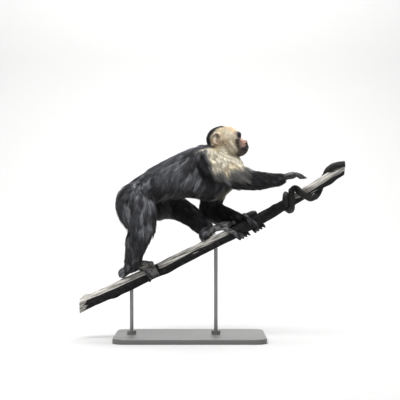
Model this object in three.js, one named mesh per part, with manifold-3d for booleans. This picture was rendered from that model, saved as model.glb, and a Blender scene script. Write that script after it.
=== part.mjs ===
// A life-size white-faced capuchin walking up a weathered branch, one hand reaching ahead, on a display stand.
// Millimetres. +X is the way the animal faces, +Y its left side, +Z up.
// The origin is the centre of the base's underside.
import * as THREE from "three";
import { mergeVertices } from "three/addons/utils/BufferGeometryUtils.js";
import Module from "manifold-3d";

const wasm = await Module();
wasm.setup();

const V = (x, y, z) => new THREE.Vector3(x, y, z);

// ---- driving dimensions ----
const GAP = 0.4; // left between neighbouring pieces
const FACET = 0.25; // how far a facet may lie from the shape it stands for
const SLIVER = 50; // volume of the largest offcut that is dropped, in cubic millimetres
const SLAB = { trunk: 300, joint: 110, end: 84, tail: 44 }; // widths of the cuts between pieces

const BASE = { length: 360, width: 240, height: 12, corner: 26, bevel: 1.5 };
const ROD = { radius: 4.5, collarRadius: 11, collarHeight: 9, places: [-140, 62] };

// The branch: its line in the XZ plane with the radius at each station.
const BRANCH = [
  { at: V(-300, 0, 62), radius: 17 },
  { at: V(-264, 0, 80), radius: 17.5 },
  { at: V(-211, 0, 104), radius: 16 },
  { at: V(-155, 0, 129), radius: 18 },
  { at: V(-82, 0, 163), radius: 15.5 },
  { at: V(29, 0, 218), radius: 15 },
  { at: V(141, 0, 273), radius: 14.5 },
  { at: V(226, 0, 322), radius: 13.5 },
  { at: V(300, 0, 366), radius: 13 },
  { at: V(390, 0, 424), radius: 14 },
];
const BRANCH_ENDS = [-264, 370]; // sawn upright at these two places

// The vine's stem lies along the branch's upper end, crosses behind and below, rises over the front into a hump
// and drops in front again. Its tip goes once more round the branch beside that.
const VINE = {
  radius: 6.5,
  stem: [
    V(376, -20, 420), V(364, -17, 419), V(349, -12, 416.5), V(337, -8, 409.5), V(332, 3, 403.5), V(328, 12, 395),
    V(322, 18.5, 384), V(317, 21, 370), V(312.5, 16, 357), V(308.5, 8, 350), V(302.5, -1, 343), V(289, -10, 338),
    V(276, -19, 342.5), V(264, -20, 351.5), V(256.5, -15, 359.5), V(250.5, -12, 362.5), V(243.5, -15, 357),
    V(241.5, -20, 345), V(242.5, -21, 330), V(243, -18, 320), V(242.5, -8, 311.5), V(239, 3, 308),
  ],
  tip: [
    V(242.5, -6, 310.5), V(239, 3, 308), V(235, 17, 314), V(232, 21, 330), V(231.5, 13, 342), V(230.5, 0, 346),
    V(229.5, -14, 340), V(229.5, -21, 328), V(230, -20, 318),
  ],
};

const HEAD = V(82, 0, 476);
const EYE = { radius: 9, at: HEAD.clone().add(V(30, 14, 13)) };
const EAR = { at: HEAD.clone().add(V(-18, 34, 3)), height: 15, width: 11, thickness: 3, turn: 0.5 };

// Joints of the skeleton. The right side is the one at -Y.
const JOINT = {
  neck: V(62, 0, 438),
  tail: V(-150, 4, 336),
  shoulderRight: V(44, -38, 424),
  elbowRight: V(114, -68, 382),
  wristRight: V(213, -42, 381),
  shoulderLeft: V(58, 38, 408),
  elbowLeft: V(46, 62, 314),
  wristLeft: V(130, 22, 283),
  hipRight: V(-131, -30, 334),
  kneeRight: V(-108, -72, 268),
  ankleRight: V(-141, -18, 176),
  hipLeft: V(-124, 30, 334),
  kneeLeft: V(-42, 84, 318),
  ankleLeft: V(38, 16, 264),
};

// ---- solids from three.js geometry ----
// A geometry with only its positions and shared vertices, as a solid that faces out.
function solid(geometry) {
  const bare = geometry.clone();
  for (const name of Object.keys(bare.attributes)) if (name !== "position") bare.deleteAttribute(name);
  const merged = mergeVertices(bare, 1e-4);
  const points = merged.attributes.position.array;
  const triVerts = new Uint32Array(merged.index.array);
  if (signedVolume(points, triVerts) < 0) triVerts.reverse();
  return new wasm.Manifold(new wasm.Mesh({ numProp: 3, vertProperties: new Float32Array(points), triVerts }));
}

function signedVolume(points, triangles) {
  const corner = (i) => V().fromArray(points, triangles[i] * 3);
  let sum = 0;
  for (let i = 0; i < triangles.length; i += 3) sum += corner(i).dot(corner(i + 1).cross(corner(i + 2)));
  return sum / 6;
}

function geometryOf(body) {
  const { numProp, vertProperties, triVerts } = body.getMesh();
  if (numProp !== 3) throw new Error("a piece has more than positions");
  return new THREE.BufferGeometry()
    .setAttribute("position", new THREE.BufferAttribute(new Float32Array(vertProperties), 3))
    .setIndex(new THREE.BufferAttribute(new Uint32Array(triVerts), 1));
}

// The largest body of a solid: slivers that a cut leaves behind are dropped.
const whole = (body) => body.decompose().sort((a, b) => b.volume() - a.volume())[0];

// A closed surface over rings of points, with a pole at each end.
function closedRings(rings, firstPole, lastPole) {
  const sides = rings[0].length;
  const points = [...rings.flat(), firstPole, lastPole];
  const first = points.length - 2;
  const last = points.length - 1;
  const index = [];
  for (let s = 0; s < sides; s++) {
    const next = (s + 1) % sides;
    index.push(first, next, s);
    index.push(last, (rings.length - 1) * sides + s, (rings.length - 1) * sides + next);
    for (let r = 0; r + 1 < rings.length; r++) {
      const [a, b, c, d] = [r * sides + s, r * sides + next, (r + 1) * sides + s, (r + 1) * sides + next];
      index.push(a, b, c, b, d, c);
    }
  }
  return new THREE.BufferGeometry().setFromPoints(points).setIndex(index);
}

const mix = THREE.MathUtils.lerp;
const ease = (t) => t * t * (3 - 2 * t);

// A value that runs smoothly through a list of values, t from 0 to 1.
function along(values, t) {
  const place = t * (values.length - 1);
  const i = Math.min(Math.floor(place), values.length - 2);
  return mix(values[i], values[i + 1], ease(place - i));
}

// A limb, digit, tail or stem: a rounded tube along a smooth path with a radius at each station.
// flat squeezes it along the reference direction and widens it across by the same share.
function limb(stations, options = {}) {
  const { sides = 10, steps = 8, grow = 0, flat = 1, reference = V(0, 1, 0), blunt = 1, bump } = options;
  const path = new THREE.CatmullRomCurve3(stations.map((s) => s.at), false, "centripetal");
  const radii = stations.map((s) => s.radius);
  const frameAt = (t) => {
    const centre = path.getPoint(t);
    const tangent = path.getTangent(t).normalize();
    const across = V().crossVectors(tangent, reference).normalize();
    const out = V().crossVectors(across, tangent).normalize();
    return { centre, tangent, across, out };
  };
  const ringAt = (t, shift, share) => {
    const { centre, tangent, across, out } = frameAt(t);
    const radius = along(radii, t);
    return Array.from({ length: sides }, (_, s) => {
      const angle = (2 * Math.PI * s) / sides;
      const reach = (radius + (bump ? bump(t, angle) : 0)) * share + grow;
      return centre.clone()
        .addScaledVector(tangent, shift * radius)
        .addScaledVector(across, Math.cos(angle) * reach / flat)
        .addScaledVector(out, Math.sin(angle) * reach * flat);
    });
  };
  const caps = [0.8];
  const rings = [
    ...caps.map((c) => ringAt(0, -blunt * c, Math.sqrt(1 - c * c))),
    ...Array.from({ length: steps + 1 }, (_, i) => ringAt(i / steps, 0, 1)),
    ...caps.toReversed().map((c) => ringAt(1, blunt * c, Math.sqrt(1 - c * c))),
  ];
  const pole = (t, sign) => {
    const { centre, tangent } = frameAt(t);
    return centre.clone().addScaledVector(tangent, sign * (blunt * along(radii, t) + grow));
  };
  return solid(closedRings(rings, pole(0, -1), pole(1, 1)));
}

const station = (at, radius) => ({ at, radius });

// ---- branch, vine and stand ----
const branchPath = new THREE.CatmullRomCurve3(BRANCH.map((s) => s.at), false, "centripetal");

// A point beside the branch at x: 0 degrees is on top and 90 on the right (-Y) side; reach is from the bark.
function aroundBranch(x, degrees, reach) {
  let [low, high] = [0, 1];
  for (let i = 0; i < 30; i++) {
    const middle = (low + high) / 2;
    if (branchPath.getPoint(middle).x < x) low = middle;
    else high = middle;
  }
  const tangent = branchPath.getTangent(low).normalize();
  const up = V().crossVectors(tangent, V(0, 1, 0)).normalize();
  const angle = THREE.MathUtils.degToRad(degrees);
  const distance = along(BRANCH.map((s) => s.radius), low) + reach;
  const foot = branchPath.getPoint(low);
  foot.z += (x - foot.x) * (tangent.z / tangent.x);
  foot.x = x;
  return foot
    .addScaledVector(up, Math.cos(angle) * distance)
    .addScaledVector(V(0, -1, 0), Math.sin(angle) * distance);
}

// Long ridges and hollows of old wood.
const barkRidge = (t, angle) => 0.9 * Math.sin(3 * angle + 9 * t) + 0.6 * Math.sin(5 * angle - 17 * t);

const branchSolid = (grow) =>
  limb(BRANCH, { sides: 11, steps: 22, grow, blunt: 0, bump: barkRidge, reference: V(0, 1, 0) })
    .trimByPlane([1, 0, 0], BRANCH_ENDS[0] - grow)
    .trimByPlane([-1, 0, 0], -BRANCH_ENDS[1] - grow);

function vineSolid() {
  const shape = { sides: 5, reference: V(0.42, 0.16, 0.9), blunt: 0.9 };
  const stemOf = (points, steps) => limb(points.map((at) => station(at, VINE.radius)), { ...shape, steps });
  return stemOf(VINE.stem, 32).add(stemOf(VINE.tip, 12)).trimByPlane([-1, 0, 0], -BRANCH_ENDS[1]);
}

function roundedPlate({ length, width, height, corner, bevel }) {
  const [x, y, r] = [length / 2 - bevel, width / 2 - bevel, corner];
  const outline = new THREE.Shape();
  outline.moveTo(-x + r, -y).lineTo(x - r, -y).absarc(x - r, -y + r, r, -Math.PI / 2, 0);
  outline.lineTo(x, y - r).absarc(x - r, y - r, r, 0, Math.PI / 2);
  outline.lineTo(-x + r, y).absarc(-x + r, y - r, r, Math.PI / 2, Math.PI);
  outline.lineTo(-x, -y + r).absarc(-x + r, -y + r, r, Math.PI, 1.5 * Math.PI);
  return new THREE.ExtrudeGeometry(outline, {
    depth: height - 2 * bevel, bevelThickness: bevel, bevelSize: bevel, bevelSegments: 1, curveSegments: 3,
  }).translate(0, 0, bevel);
}

// An upright cylinder from the height bottom to the height top.
function post(x, radius, bottom, top) {
  const upright = new THREE.CylinderGeometry(radius, radius, top - bottom, 14).rotateX(Math.PI / 2);
  return solid(upright.translate(x, 0, (bottom + top) / 2));
}

function rodSolid(x) {
  const floor = BASE.height + GAP;
  return post(x, ROD.radius, floor, aroundBranch(x, 0, 0).z)
    .add(post(x, ROD.collarRadius, floor, floor + ROD.collarHeight))
    .subtract(branchSolid(GAP));
}

// ---- trunk ----
// The trunk's ribs: a point on the back, the one below it on the belly, and half the width there.
const RIBS = [
  { back: V(96, 0, 448), belly: V(131, 0, 418), half: 24 },
  { back: V(62, 0, 465), belly: V(130, 0, 390), half: 42 },
  { back: V(30, 0, 468), belly: V(94, 0, 352), half: 50 },
  { back: V(-6, 0, 456), belly: V(56, 0, 332), half: 54 },
  { back: V(-40, 0, 440), belly: V(8, 0, 340), half: 53 },
  { back: V(-78, 0, 421), belly: V(-38, 0, 338), half: 53 },
  { back: V(-115, 0, 397), belly: V(-82, 0, 326), half: 53 },
  { back: V(-148, 0, 373), belly: V(-116, 0, 308), half: 45 },
  { back: V(-168, 0, 345), belly: V(-142, 0, 304), half: 28 },
];
const TRUNK_SIDES = 18;
const WAIST_RIB = 4; // where the chest meets the belly
const NECK_BASE = { at: V(56, 0, 436), line: V(0.8, 0, 0.6) };

function trunkSolid(grow, steps = 13) {
  const backLine = new THREE.CatmullRomCurve3(RIBS.map((r) => r.back), false, "centripetal");
  const bellyLine = new THREE.CatmullRomCurve3(RIBS.map((r) => r.belly), false, "centripetal");
  const halves = RIBS.map((r) => r.half);
  const ring = (t) => {
    const place = t * (RIBS.length - 1);
    const back = backLine.getPoint(t);
    const belly = bellyLine.getPoint(t);
    const centre = back.clone().add(belly).multiplyScalar(0.5);
    const up = back.clone().sub(belly).multiplyScalar(0.5);
    const size = up.length();
    up.multiplyScalar((size + grow) / size);
    const low = Math.floor(Math.min(place, RIBS.length - 2));
    const half = mix(halves[low], halves[low + 1], place - low) + grow;
    return Array.from({ length: TRUNK_SIDES }, (_, s) => {
      const angle = (2 * Math.PI * s) / TRUNK_SIDES;
      const width = half * (1 - 0.1 * Math.cos(angle)); // narrower over the spine than at the belly
      return centre.clone().addScaledVector(up, Math.cos(angle)).add(V(0, Math.sin(angle) * width, 0));
    });
  };
  const rings = Array.from({ length: steps + 1 }, (_, i) => ring(i / steps));
  const middle = (r) => r.reduce((sum, p) => sum.add(p), V(0, 0, 0)).divideScalar(r.length);
  const front = middle(rings[0]).add(V(9 + grow, 0, -2));
  const rear = middle(rings[steps]).add(V(-6 - grow, 0, -4));
  return solid(closedRings(rings, front, rear));
}

// ---- head ----
// Distance to an ellipsoid's surface, close enough near it.
function ellipsoid(p, centre, radii) {
  const q = p.clone().sub(centre);
  const k0 = q.clone().divide(radii).length();
  const k1 = q.clone().divide(radii.clone().multiply(radii)).length();
  return k1 ? (k0 * (k0 - 1)) / k1 : -radii.x;
}

function smoothMin(a, b, blend) {
  const h = Math.max(blend - Math.abs(a - b), 0) / blend;
  return Math.min(a, b) - (h * h * blend) / 4;
}

// The head's masses: centre from HEAD, radii, and how softly each joins the rest. Those with y are mirrored.
const HEAD_MASSES = [
  { name: "braincase", at: V(-2, 0, 4), radii: V(42, 33, 33), blend: 6 },
  { name: "forehead", at: V(12, 0, 8), radii: V(21, 26, 21.5), blend: 10 },
  { name: "brow", at: V(31, 10.5, 16), radii: V(9.5, 13.5, 5.5), blend: 7 },
  { name: "cheek", at: V(20, 18, -10), radii: V(26, 15, 24), blend: 12 },
  { name: "jaw", at: V(18, 0, -21), radii: V(34, 23, 20), blend: 14 },
  { name: "muzzle", at: V(39, 0, -15), radii: V(20, 16, 15), blend: 10 },
  { name: "chin", at: V(39, 0, -26.5), radii: V(13.5, 10.5, 8.5), blend: 8 },
  { name: "nose", at: V(46, 0, -1), radii: V(9, 7.5, 6), blend: 9 },
];
const SOCKET = { at: V(41, 14, 12), radii: V(12, 10.5, 9), blend: 6 };
const NOSE_BRIDGE = { at: V(50, 0, 11), radii: V(6, 9, 8), blend: 6 };

function headDistance(p) {
  const side = V(p.x - HEAD.x, Math.abs(p.y), p.z - HEAD.z);
  let d = Infinity;
  for (const mass of HEAD_MASSES) d = smoothMin(d, ellipsoid(side, mass.at, mass.radii), mass.blend);
  for (const hollow of [SOCKET, NOSE_BRIDGE]) {
    d = -smoothMin(-d, ellipsoid(side, hollow.at, hollow.radii), hollow.blend);
  }
  return d;
}

// The head's surface is found along rays from its heart: each starts outside and steps in by a share of the distance.
const HEAD_RAYS = { detail: 5, start: 95, share: 0.6, steps: 90 };

function headSolid(grow) {
  const bare = new THREE.IcosahedronGeometry(1, HEAD_RAYS.detail).deleteAttribute("normal").deleteAttribute("uv");
  const ball = mergeVertices(bare, 1e-5);
  const points = ball.attributes.position;
  const heart = HEAD.clone().add(V(12, 0, -2));
  for (let i = 0; i < points.count; i++) {
    const ray = V().fromBufferAttribute(points, i).normalize();
    let reach = HEAD_RAYS.start;
    for (let step = 0; step < HEAD_RAYS.steps; step++) {
      reach -= HEAD_RAYS.share * headDistance(heart.clone().addScaledVector(ray, reach));
    }
    heart.clone().addScaledVector(ray, reach + grow).toArray(points.array, i * 3);
  }
  return solid(ball);
}

function eyeSolid(side, grow) {
  const { radius, at } = EYE;
  const ball = new THREE.SphereGeometry(radius + grow, 10, 7).rotateZ(Math.PI / 2);
  return solid(ball.translate(at.x, at.y * side, at.z));
}

// An ear is a thin oval bowl whose mouth faces out and ahead.
function earSolid(side) {
  const { at, height, width, thickness, turn } = EAR;
  const oval = (w, t, h, y) => {
    const g = new THREE.SphereGeometry(1, 10, 6).scale(w, t, h).translate(0, y, 0);
    return solid(g.rotateZ(turn).rotateY(-0.18).scale(1, side, 1).translate(at.x, at.y * side, at.z));
  };
  const bowl = oval(width * 0.78, thickness * 1.7, height * 0.8, thickness * 1.25);
  return oval(width, thickness * 1.9, height, 0).subtract(bowl);
}

// ---- hands and feet ----
// Radii along a digit, and how far its root and the rest of it lie from what it grips.
const PALM = 11; // radius of the palm and the heel
const DIGIT = { root: 5.6, middle: 4.6, tip: 3.7, raised: 8, curled: 6.2 };

function digit(points, thick = 1) {
  const radii = [DIGIT.root, DIGIT.middle, DIGIT.middle, DIGIT.tip].map((r) => r * thick);
  return limb(points.map((at, i) => station(at, radii[i])), { sides: 5, steps: 3, reference: V(0.3, 0.9, 0.3) });
}

// Digits that curl round the branch. side is 1 for the right (-Y) side; spread and sweep are along the branch.
function gripping(rootX, count, spread, sweep, side, angles, thick) {
  return Array.from({ length: count }, (_, i) => {
    const joint = (degrees, k) => {
      const x = rootX + spread * i + (sweep * k) / (angles.length - 1);
      return aroundBranch(x, side * degrees, k ? DIGIT.curled : DIGIT.raised);
    };
    return digit(angles.map(joint), thick);
  });
}

const join = (bodies) => bodies.reduce((sum, body) => sum.add(body));

function footRight() {
  const sole = limb(
    [
      station(aroundBranch(-147, 8, 13), PALM),
      station(aroundBranch(-126, 12, 17), 8.5),
      station(aroundBranch(-102, 16, 14), PALM),
      station(aroundBranch(-93, 18, 10), 10),
    ],
    { sides: 8, steps: 6, flat: 0.88, reference: V(-0.4, -0.2, 0.9) },
  );
  return join([
    sole,
    ...gripping(-101, 4, 6.2, 3, 1, [20, 50, 80, 106]),
    ...gripping(-112, 1, 0, 8, -1, [0, 48, 92, 118], 1.15),
  ]);
}

function footLeft() {
  const sole = limb(
    [
      station(aroundBranch(47, 4, 12), PALM),
      station(aroundBranch(66, 2, 14), 8.5),
      station(aroundBranch(88, 0, 12), PALM),
      station(aroundBranch(100, 0, 9), 10),
    ],
    { sides: 8, steps: 6, flat: 0.88, reference: V(-0.4, 0.2, 0.9) },
  );
  return join([
    sole,
    ...gripping(92, 4, 7.4, 18, -1, [14, 60, 108, 150]),
    ...gripping(88, 1, 0, 28, 1, [10, 54, 94, 132], 1.2),
  ]);
}

function handLeft() {
  const palm = limb(
    [
      station(JOINT.wristLeft.clone().add(V(2, 0, 0)), PALM),
      station(aroundBranch(146, -26, 7), 10.5),
      station(aroundBranch(161, -26, 6), 10),
    ],
    { sides: 8, steps: 5, flat: 0.86, reference: V(-0.4, 0.3, 0.9) },
  );
  return join([
    palm,
    ...gripping(140, 4, 7.4, 6, -1, [42, 74, 114, 156]),
    ...gripping(143, 1, 0, 12, 1, [-4, 42, 86, 122], 1.05),
  ]);
}

// The reaching hand's fingers from its outer side in: where each springs from, and how far its tip is ahead of
// the wrist and above it.
const FINGERS = [
  { aside: -11, reach: 46, drop: 5.5 },
  { aside: -3.5, reach: 57, drop: 5 },
  { aside: 4.5, reach: 58, drop: 6 },
  { aside: 12, reach: 50, drop: 5 },
];

// The reaching hand: the palm bends up from the wrist, and the fingers arch forward and down.
function handRight() {
  const wrist = JOINT.wristRight;
  const point = (ahead, aside, up) => wrist.clone().add(V(ahead, aside, up));
  const palm = limb(
    [station(point(2, 0, 1), PALM), station(point(16, 2, 8), PALM - 1), station(point(30, 4, 11), PALM)],
    { sides: 8, steps: 5, flat: 0.78, reference: V(-0.3, 0.1, 0.95) },
  );
  const knuckle = 27;
  const fingers = FINGERS.map(({ aside, reach, drop }) => {
    const fan = aside * 1.35;
    return digit([
      point(knuckle, aside, 11),
      point(mix(knuckle, reach, 0.42), fan, 14),
      point(mix(knuckle, reach, 0.75), fan * 1.1, mix(14, drop, 0.45)),
      point(reach, fan * 1.15, drop),
    ]);
  });
  const thumb = digit([point(10, 12, 3), point(18, 21, 5), point(27, 25, 7), point(35, 26, 7)], 1.02);
  return join([palm, ...fingers, thumb]);
}

// ---- limbs, neck and tail ----
// Each bone's flesh with its coat: the joint it starts from, what shapes it between, and the joint it ends at.
const between = (a, b, t, shift = V(0, 0, 0)) => a.clone().lerp(b, t).add(shift);
const ARM_RADII = { shoulder: 34, upper: 35, elbow: 26.5, wrist: 12.5 };
// How each arm's coat stands off its bones: the bent far arm's mane ahead, the reaching arm's fringe below.
const ARM_COAT = {
  Left: { bulk: 0.9, mane: V(9, 0, 3), fringe: V(0, 0, -1), fore: 21.5 },
  Right: { bulk: 1, mane: V(0, 0, 3), fringe: V(0, 0, -2.5), fore: 23 },
};
const BONE_ROOT = 0.93; // a lower limb starts a little inside the end of the upper one
const LEG_RADII = { hip: 43, thigh: 41, knee: 30, calf: 27, shin: 21, ankle: 17 };
const CALF_OFF_BONE = { Left: V(2, 0, 6), Right: V(-4, 0, 0) };

function armFlesh(side) {
  const [shoulder, elbow, wrist] = ["shoulder", "elbow", "wrist"].map((joint) => JOINT[joint + side]);
  const { bulk, mane, fringe, fore: foreRadius } = ARM_COAT[side];
  const upper = limb(
    [
      station(shoulder, ARM_RADII.shoulder * bulk),
      station(between(shoulder, elbow, 0.5, mane), ARM_RADII.upper * bulk),
      station(elbow, ARM_RADII.elbow),
    ],
    { steps: 6 },
  );
  const fore = limb(
    [
      station(elbow, ARM_RADII.elbow * BONE_ROOT),
      station(between(elbow, wrist, 0.42, fringe), foreRadius),
      station(wrist, ARM_RADII.wrist),
    ],
    { steps: 6, blunt: 0.6 },
  );
  return upper.add(fore);
}

function legFlesh(side) {
  const [hip, knee, ankle] = ["hip", "knee", "ankle"].map((joint) => JOINT[joint + side]);
  const calf = CALF_OFF_BONE[side];
  const upper = limb(
    [
      station(hip, LEG_RADII.hip),
      station(between(hip, knee, 0.5), LEG_RADII.thigh),
      station(knee, LEG_RADII.knee),
    ],
    { steps: 6, flat: 0.94 },
  );
  const lower = limb(
    [
      station(knee, LEG_RADII.knee * BONE_ROOT),
      station(between(knee, ankle, 0.35, calf), LEG_RADII.calf),
      station(between(knee, ankle, 0.75), LEG_RADII.shin),
      station(ankle, LEG_RADII.ankle),
    ],
    { steps: 7, blunt: 0.6, flat: 0.94 },
  );
  return upper.add(lower);
}

function neckSolid(grow) {
  return limb(
    [
      station(JOINT.neck.clone().add(V(-16, 0, -6)), 32),
      station(JOINT.neck.clone().add(V(12, 0, 2)), 38),
      station(HEAD.clone().add(V(-4, 0, -14)), 34),
    ],
    { sides: 14, steps: 5, grow, flat: 1.06 },
  );
}

// The tail swings out to the left, along the flank, and ends in a loose curl.
const TAIL = [
  station(JOINT.tail.clone(), 19),
  station(V(-160, 44, 330), 17.5),
  station(V(-146, 98, 324), 16.5),
  station(V(-108, 142, 326), 15.5),
  station(V(-60, 158, 336), 14.5),
  station(V(-18, 144, 350), 13.5),
  station(V(-4, 108, 364), 12.5),
  station(V(-24, 88, 380), 11.5),
  station(V(-50, 98, 388), 10),
  station(V(-56, 120, 384), 7.5),
];
const TAIL_CUTS = [3, 6]; // the stations where one length of the tail meets the next

const tailSolid = () => limb(TAIL, { sides: 9, steps: 22, reference: V(0.1, 0.1, 1) });

// ---- the model ----
const MATERIALS = {
  black_fur: { color: 0x1c1d21, roughness: 0.75, metalness: 0 },
  cream_fur: { color: 0xd8cba6, roughness: 0.8, metalness: 0 },
  dark_skin: { color: 0x2a2a2c, roughness: 0.6, metalness: 0 },
  ear_skin: { color: 0xc99c86, roughness: 0.6, metalness: 0 },
  eye: { color: 0x1a0f09, roughness: 0.08, metalness: 0 },
  weathered_wood: { color: 0x8a857c, roughness: 0.85, metalness: 0 },
  dark_vine: { color: 0x1d1a17, roughness: 0.7, metalness: 0 },
  stand_steel: { color: 0xb9bab8, roughness: 0.35, metalness: 0.9 },
  stand_lacquer: { color: 0x616160, roughness: 0.45, metalness: 0 },
};

const model = new THREE.Group();

function place(name, body, slot) {
  const shape = geometryOf(whole(body).simplify(FACET));
  const mesh = new THREE.Mesh(shape, new THREE.MeshStandardMaterial(MATERIALS[slot]));
  mesh.name = name;
  model.add(mesh);
}

// Cuts a body back from each neighbour that it meets, each given with the gap already grown onto it.
const clear = (body, ...neighbours) => neighbours.reduce((left, other) => left.subtract(other), body);

// A thin slab across a joint, square to a direction: it leaves the gap between the two pieces that meet there.
function slab(centre, direction, size) {
  const turn = new THREE.Quaternion().setFromUnitVectors(V(0, 0, 1), direction.clone().normalize());
  return solid(new THREE.BoxGeometry(size, size, GAP).applyQuaternion(turn).translate(...centre));
}

// Parts a body at its slabs and gives the piece that lies round each of the points.
function part(body, slabs, points) {
  const pieces = clear(body, ...slabs).decompose().filter((piece) => piece.volume() > SLIVER);
  return points.map((point) => {
    const away = (piece) => {
      const { min, max } = piece.boundingBox();
      return V().fromArray(min).add(V().fromArray(max)).multiplyScalar(0.5).distanceTo(point);
    };
    return pieces.toSorted((a, b) => away(a) - away(b))[0];
  });
}

const trunkRoom = trunkSolid(GAP);
const headRoom = headSolid(GAP);
const branchRoom = branchSolid(GAP);
const neckRoom = neckSolid(GAP);
const eyesRoom = eyeSolid(1, GAP).add(eyeSolid(-1, GAP));

const waist = RIBS[WAIST_RIB];
const waistCentre = between(waist.back, waist.belly, 0.5);
const waistLine = V().crossVectors(waist.back.clone().sub(waist.belly), V(0, 1, 0));
const torso = clear(trunkSolid(0).add(neckSolid(0)), headRoom);
const [neck, chest, belly] = part(
  torso,
  [slab(waistCentre, waistLine, SLAB.trunk), slab(NECK_BASE.at, NECK_BASE.line, SLAB.trunk)],
  [
    JOINT.neck.clone().add(V(30, 0, 0)),
    between(RIBS[2].back, RIBS[3].belly, 0.5),
    between(RIBS[6].back, RIBS[6].belly, 0.5),
  ],
);
place("neck", neck, "cream_fur");
place("chest", chest, "black_fur");
place("belly", belly, "black_fur");
place("head", clear(headSolid(0), eyesRoom), "cream_fur");

// A limb is one solid from shoulder or hip to fingertips, parted at its two joints.
// A hand is parted square to its forearm, and a foot along its sole, lift above the ankle.
function placeLimb(flesh, extremity, joints, names, slots, { sole, lift = 0 } = {}) {
  const [root, bend, end] = joints;
  const upper = bend.clone().sub(root).normalize();
  const lower = end.clone().sub(bend).normalize();
  const across = sole ?? lower;
  const body = clear(flesh.add(extremity), trunkRoom, neckRoom, branchRoom);
  const slabs = [
    slab(bend, upper.clone().add(lower), SLAB.joint),
    slab(end.clone().addScaledVector(lower, -lift), across, SLAB.end),
  ];
  const beyond = end.clone().addScaledVector(lower, 20).add(V(12, 0, 0));
  part(body, slabs, [between(root, bend, 0.5), between(bend, end, 0.5), beyond])
    .forEach((piece, i) => place(names[i], piece, slots[i]));
}

const extremities = {
  Left: { hand: handLeft, foot: footLeft, upperArm: "black_fur" },
  Right: { hand: handRight, foot: footRight, upperArm: "cream_fur" },
};
for (const [side, sign] of [["Left", 1], ["Right", -1]]) {
  const tag = "_" + side.toLowerCase();
  const { hand, foot, upperArm } = extremities[side];
  const joints = (...names) => names.map((name) => JOINT[name + side]);
  place("eye" + tag, eyeSolid(sign, 0), "eye");
  place("ear" + tag, clear(earSolid(sign), headRoom, neckRoom), "ear_skin");
  placeLimb(
    armFlesh(side), hand(), joints("shoulder", "elbow", "wrist"),
    ["upper_arm" + tag, "forearm" + tag, "hand" + tag], [upperArm, "black_fur", "dark_skin"],
  );
  placeLimb(
    legFlesh(side), foot(), joints("hip", "knee", "ankle"),
    ["thigh" + tag, "shank" + tag, "foot" + tag], ["black_fur", "black_fur", "dark_skin"],
    { sole: V(0.44, 0, -0.9), lift: 8 },
  );
}

const legRoom = legFlesh("Left").add(legFlesh("Right"));
const tailSlabs = TAIL_CUTS.map((i) => slab(TAIL[i].at, TAIL[i + 1].at.clone().sub(TAIL[i - 1].at), SLAB.tail));
part(clear(tailSolid(), trunkRoom, legRoom), tailSlabs, [TAIL[2].at, TAIL[4].at, TAIL[8].at])
  .forEach((piece, i) => place("tail_" + (i + 1), piece, "black_fur"));

place("perch_branch", branchSolid(0), "weathered_wood");
place("perch_vine", clear(vineSolid(), branchRoom), "dark_vine");
place("stand_base", solid(roundedPlate(BASE)), "stand_lacquer");
ROD.places.forEach((x, i) => place("stand_rod_" + (i + 1), rodSolid(x), "stand_steel"));

export default model;
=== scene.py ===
"""A life-size white-faced capuchin walking up a branch, on a display stand.

Run as a script over the frame, it makes the skin, the coat, the eyes and nails, the wood, the vine,
the stand's finish and the studio. Shapes are worked out in millimetres and made in metres.
"""

import math

import bmesh
import bpy
import numpy as np
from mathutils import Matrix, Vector
from mathutils.kdtree import KDTree


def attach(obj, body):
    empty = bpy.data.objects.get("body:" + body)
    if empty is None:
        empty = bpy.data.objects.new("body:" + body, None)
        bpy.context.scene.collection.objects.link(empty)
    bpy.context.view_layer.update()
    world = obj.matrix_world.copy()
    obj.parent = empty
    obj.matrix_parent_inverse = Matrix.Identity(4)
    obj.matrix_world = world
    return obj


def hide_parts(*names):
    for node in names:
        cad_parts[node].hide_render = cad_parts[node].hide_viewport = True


bl_info = {
    "name": "Capuchin on a branch",
    "version": (1, 0, 0),
    "blender": (4, 5, 0),
    "location": "View3D > Sidebar > Capuchin",
    "description": "Makes the skin, coat, eyes, nails, perch, stand and studio of a life-size capuchin",
    "category": "Object",
}

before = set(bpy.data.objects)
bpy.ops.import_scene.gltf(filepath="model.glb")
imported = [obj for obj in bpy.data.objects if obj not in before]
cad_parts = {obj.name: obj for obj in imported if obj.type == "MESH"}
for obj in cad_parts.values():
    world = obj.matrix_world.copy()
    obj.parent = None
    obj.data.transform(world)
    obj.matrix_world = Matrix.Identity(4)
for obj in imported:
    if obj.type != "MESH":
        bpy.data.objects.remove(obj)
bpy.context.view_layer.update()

MM = 0.001
Y, Z = np.eye(3)[1:]


# ---- anatomy, in millimetres; the right side is the one at -Y ----

HEAD = np.array([82.0, 0.0, 476.0])
EYE = {"radius": 8.4, "at": np.array([31.9, 13.2, 12.2]), "gaze": np.array([0.96, 0.26, 0.04])}
LID = {"thick": 0.9, "half_width": 7.4, "upper": 5.0, "lower": 4.3}
NOSTRIL_LINE = ((54.0, 4.6, -5.4), (50.6, 8.6, -8.0))
EAR = {
    "at": np.array([-18.0, 31.0, 3.0]), "height": 14.5, "width": 10.5, "depth": 5.5,
    "turn": 0.5, "tilt": 0.18,
}

JOINT = {
    "neck": (62, 0, 438),
    "tail": (-150, 4, 336),
    "shoulder_right": (44, -38, 424),
    "elbow_right": (114, -68, 382),
    "wrist_right": (213, -42, 381),
    "shoulder_left": (58, 38, 408),
    "elbow_left": (46, 62, 314),
    "wrist_left": (130, 22, 283),
    "hip_right": (-131, -30, 334),
    "knee_right": (-108, -72, 268),
    "ankle_right": (-141, -18, 176),
    "hip_left": (-124, 30, 334),
    "knee_left": (-42, 84, 318),
    "ankle_left": (38, 16, 264),
}
JOINT = {name: np.array(at, float) for name, at in JOINT.items()}

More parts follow.
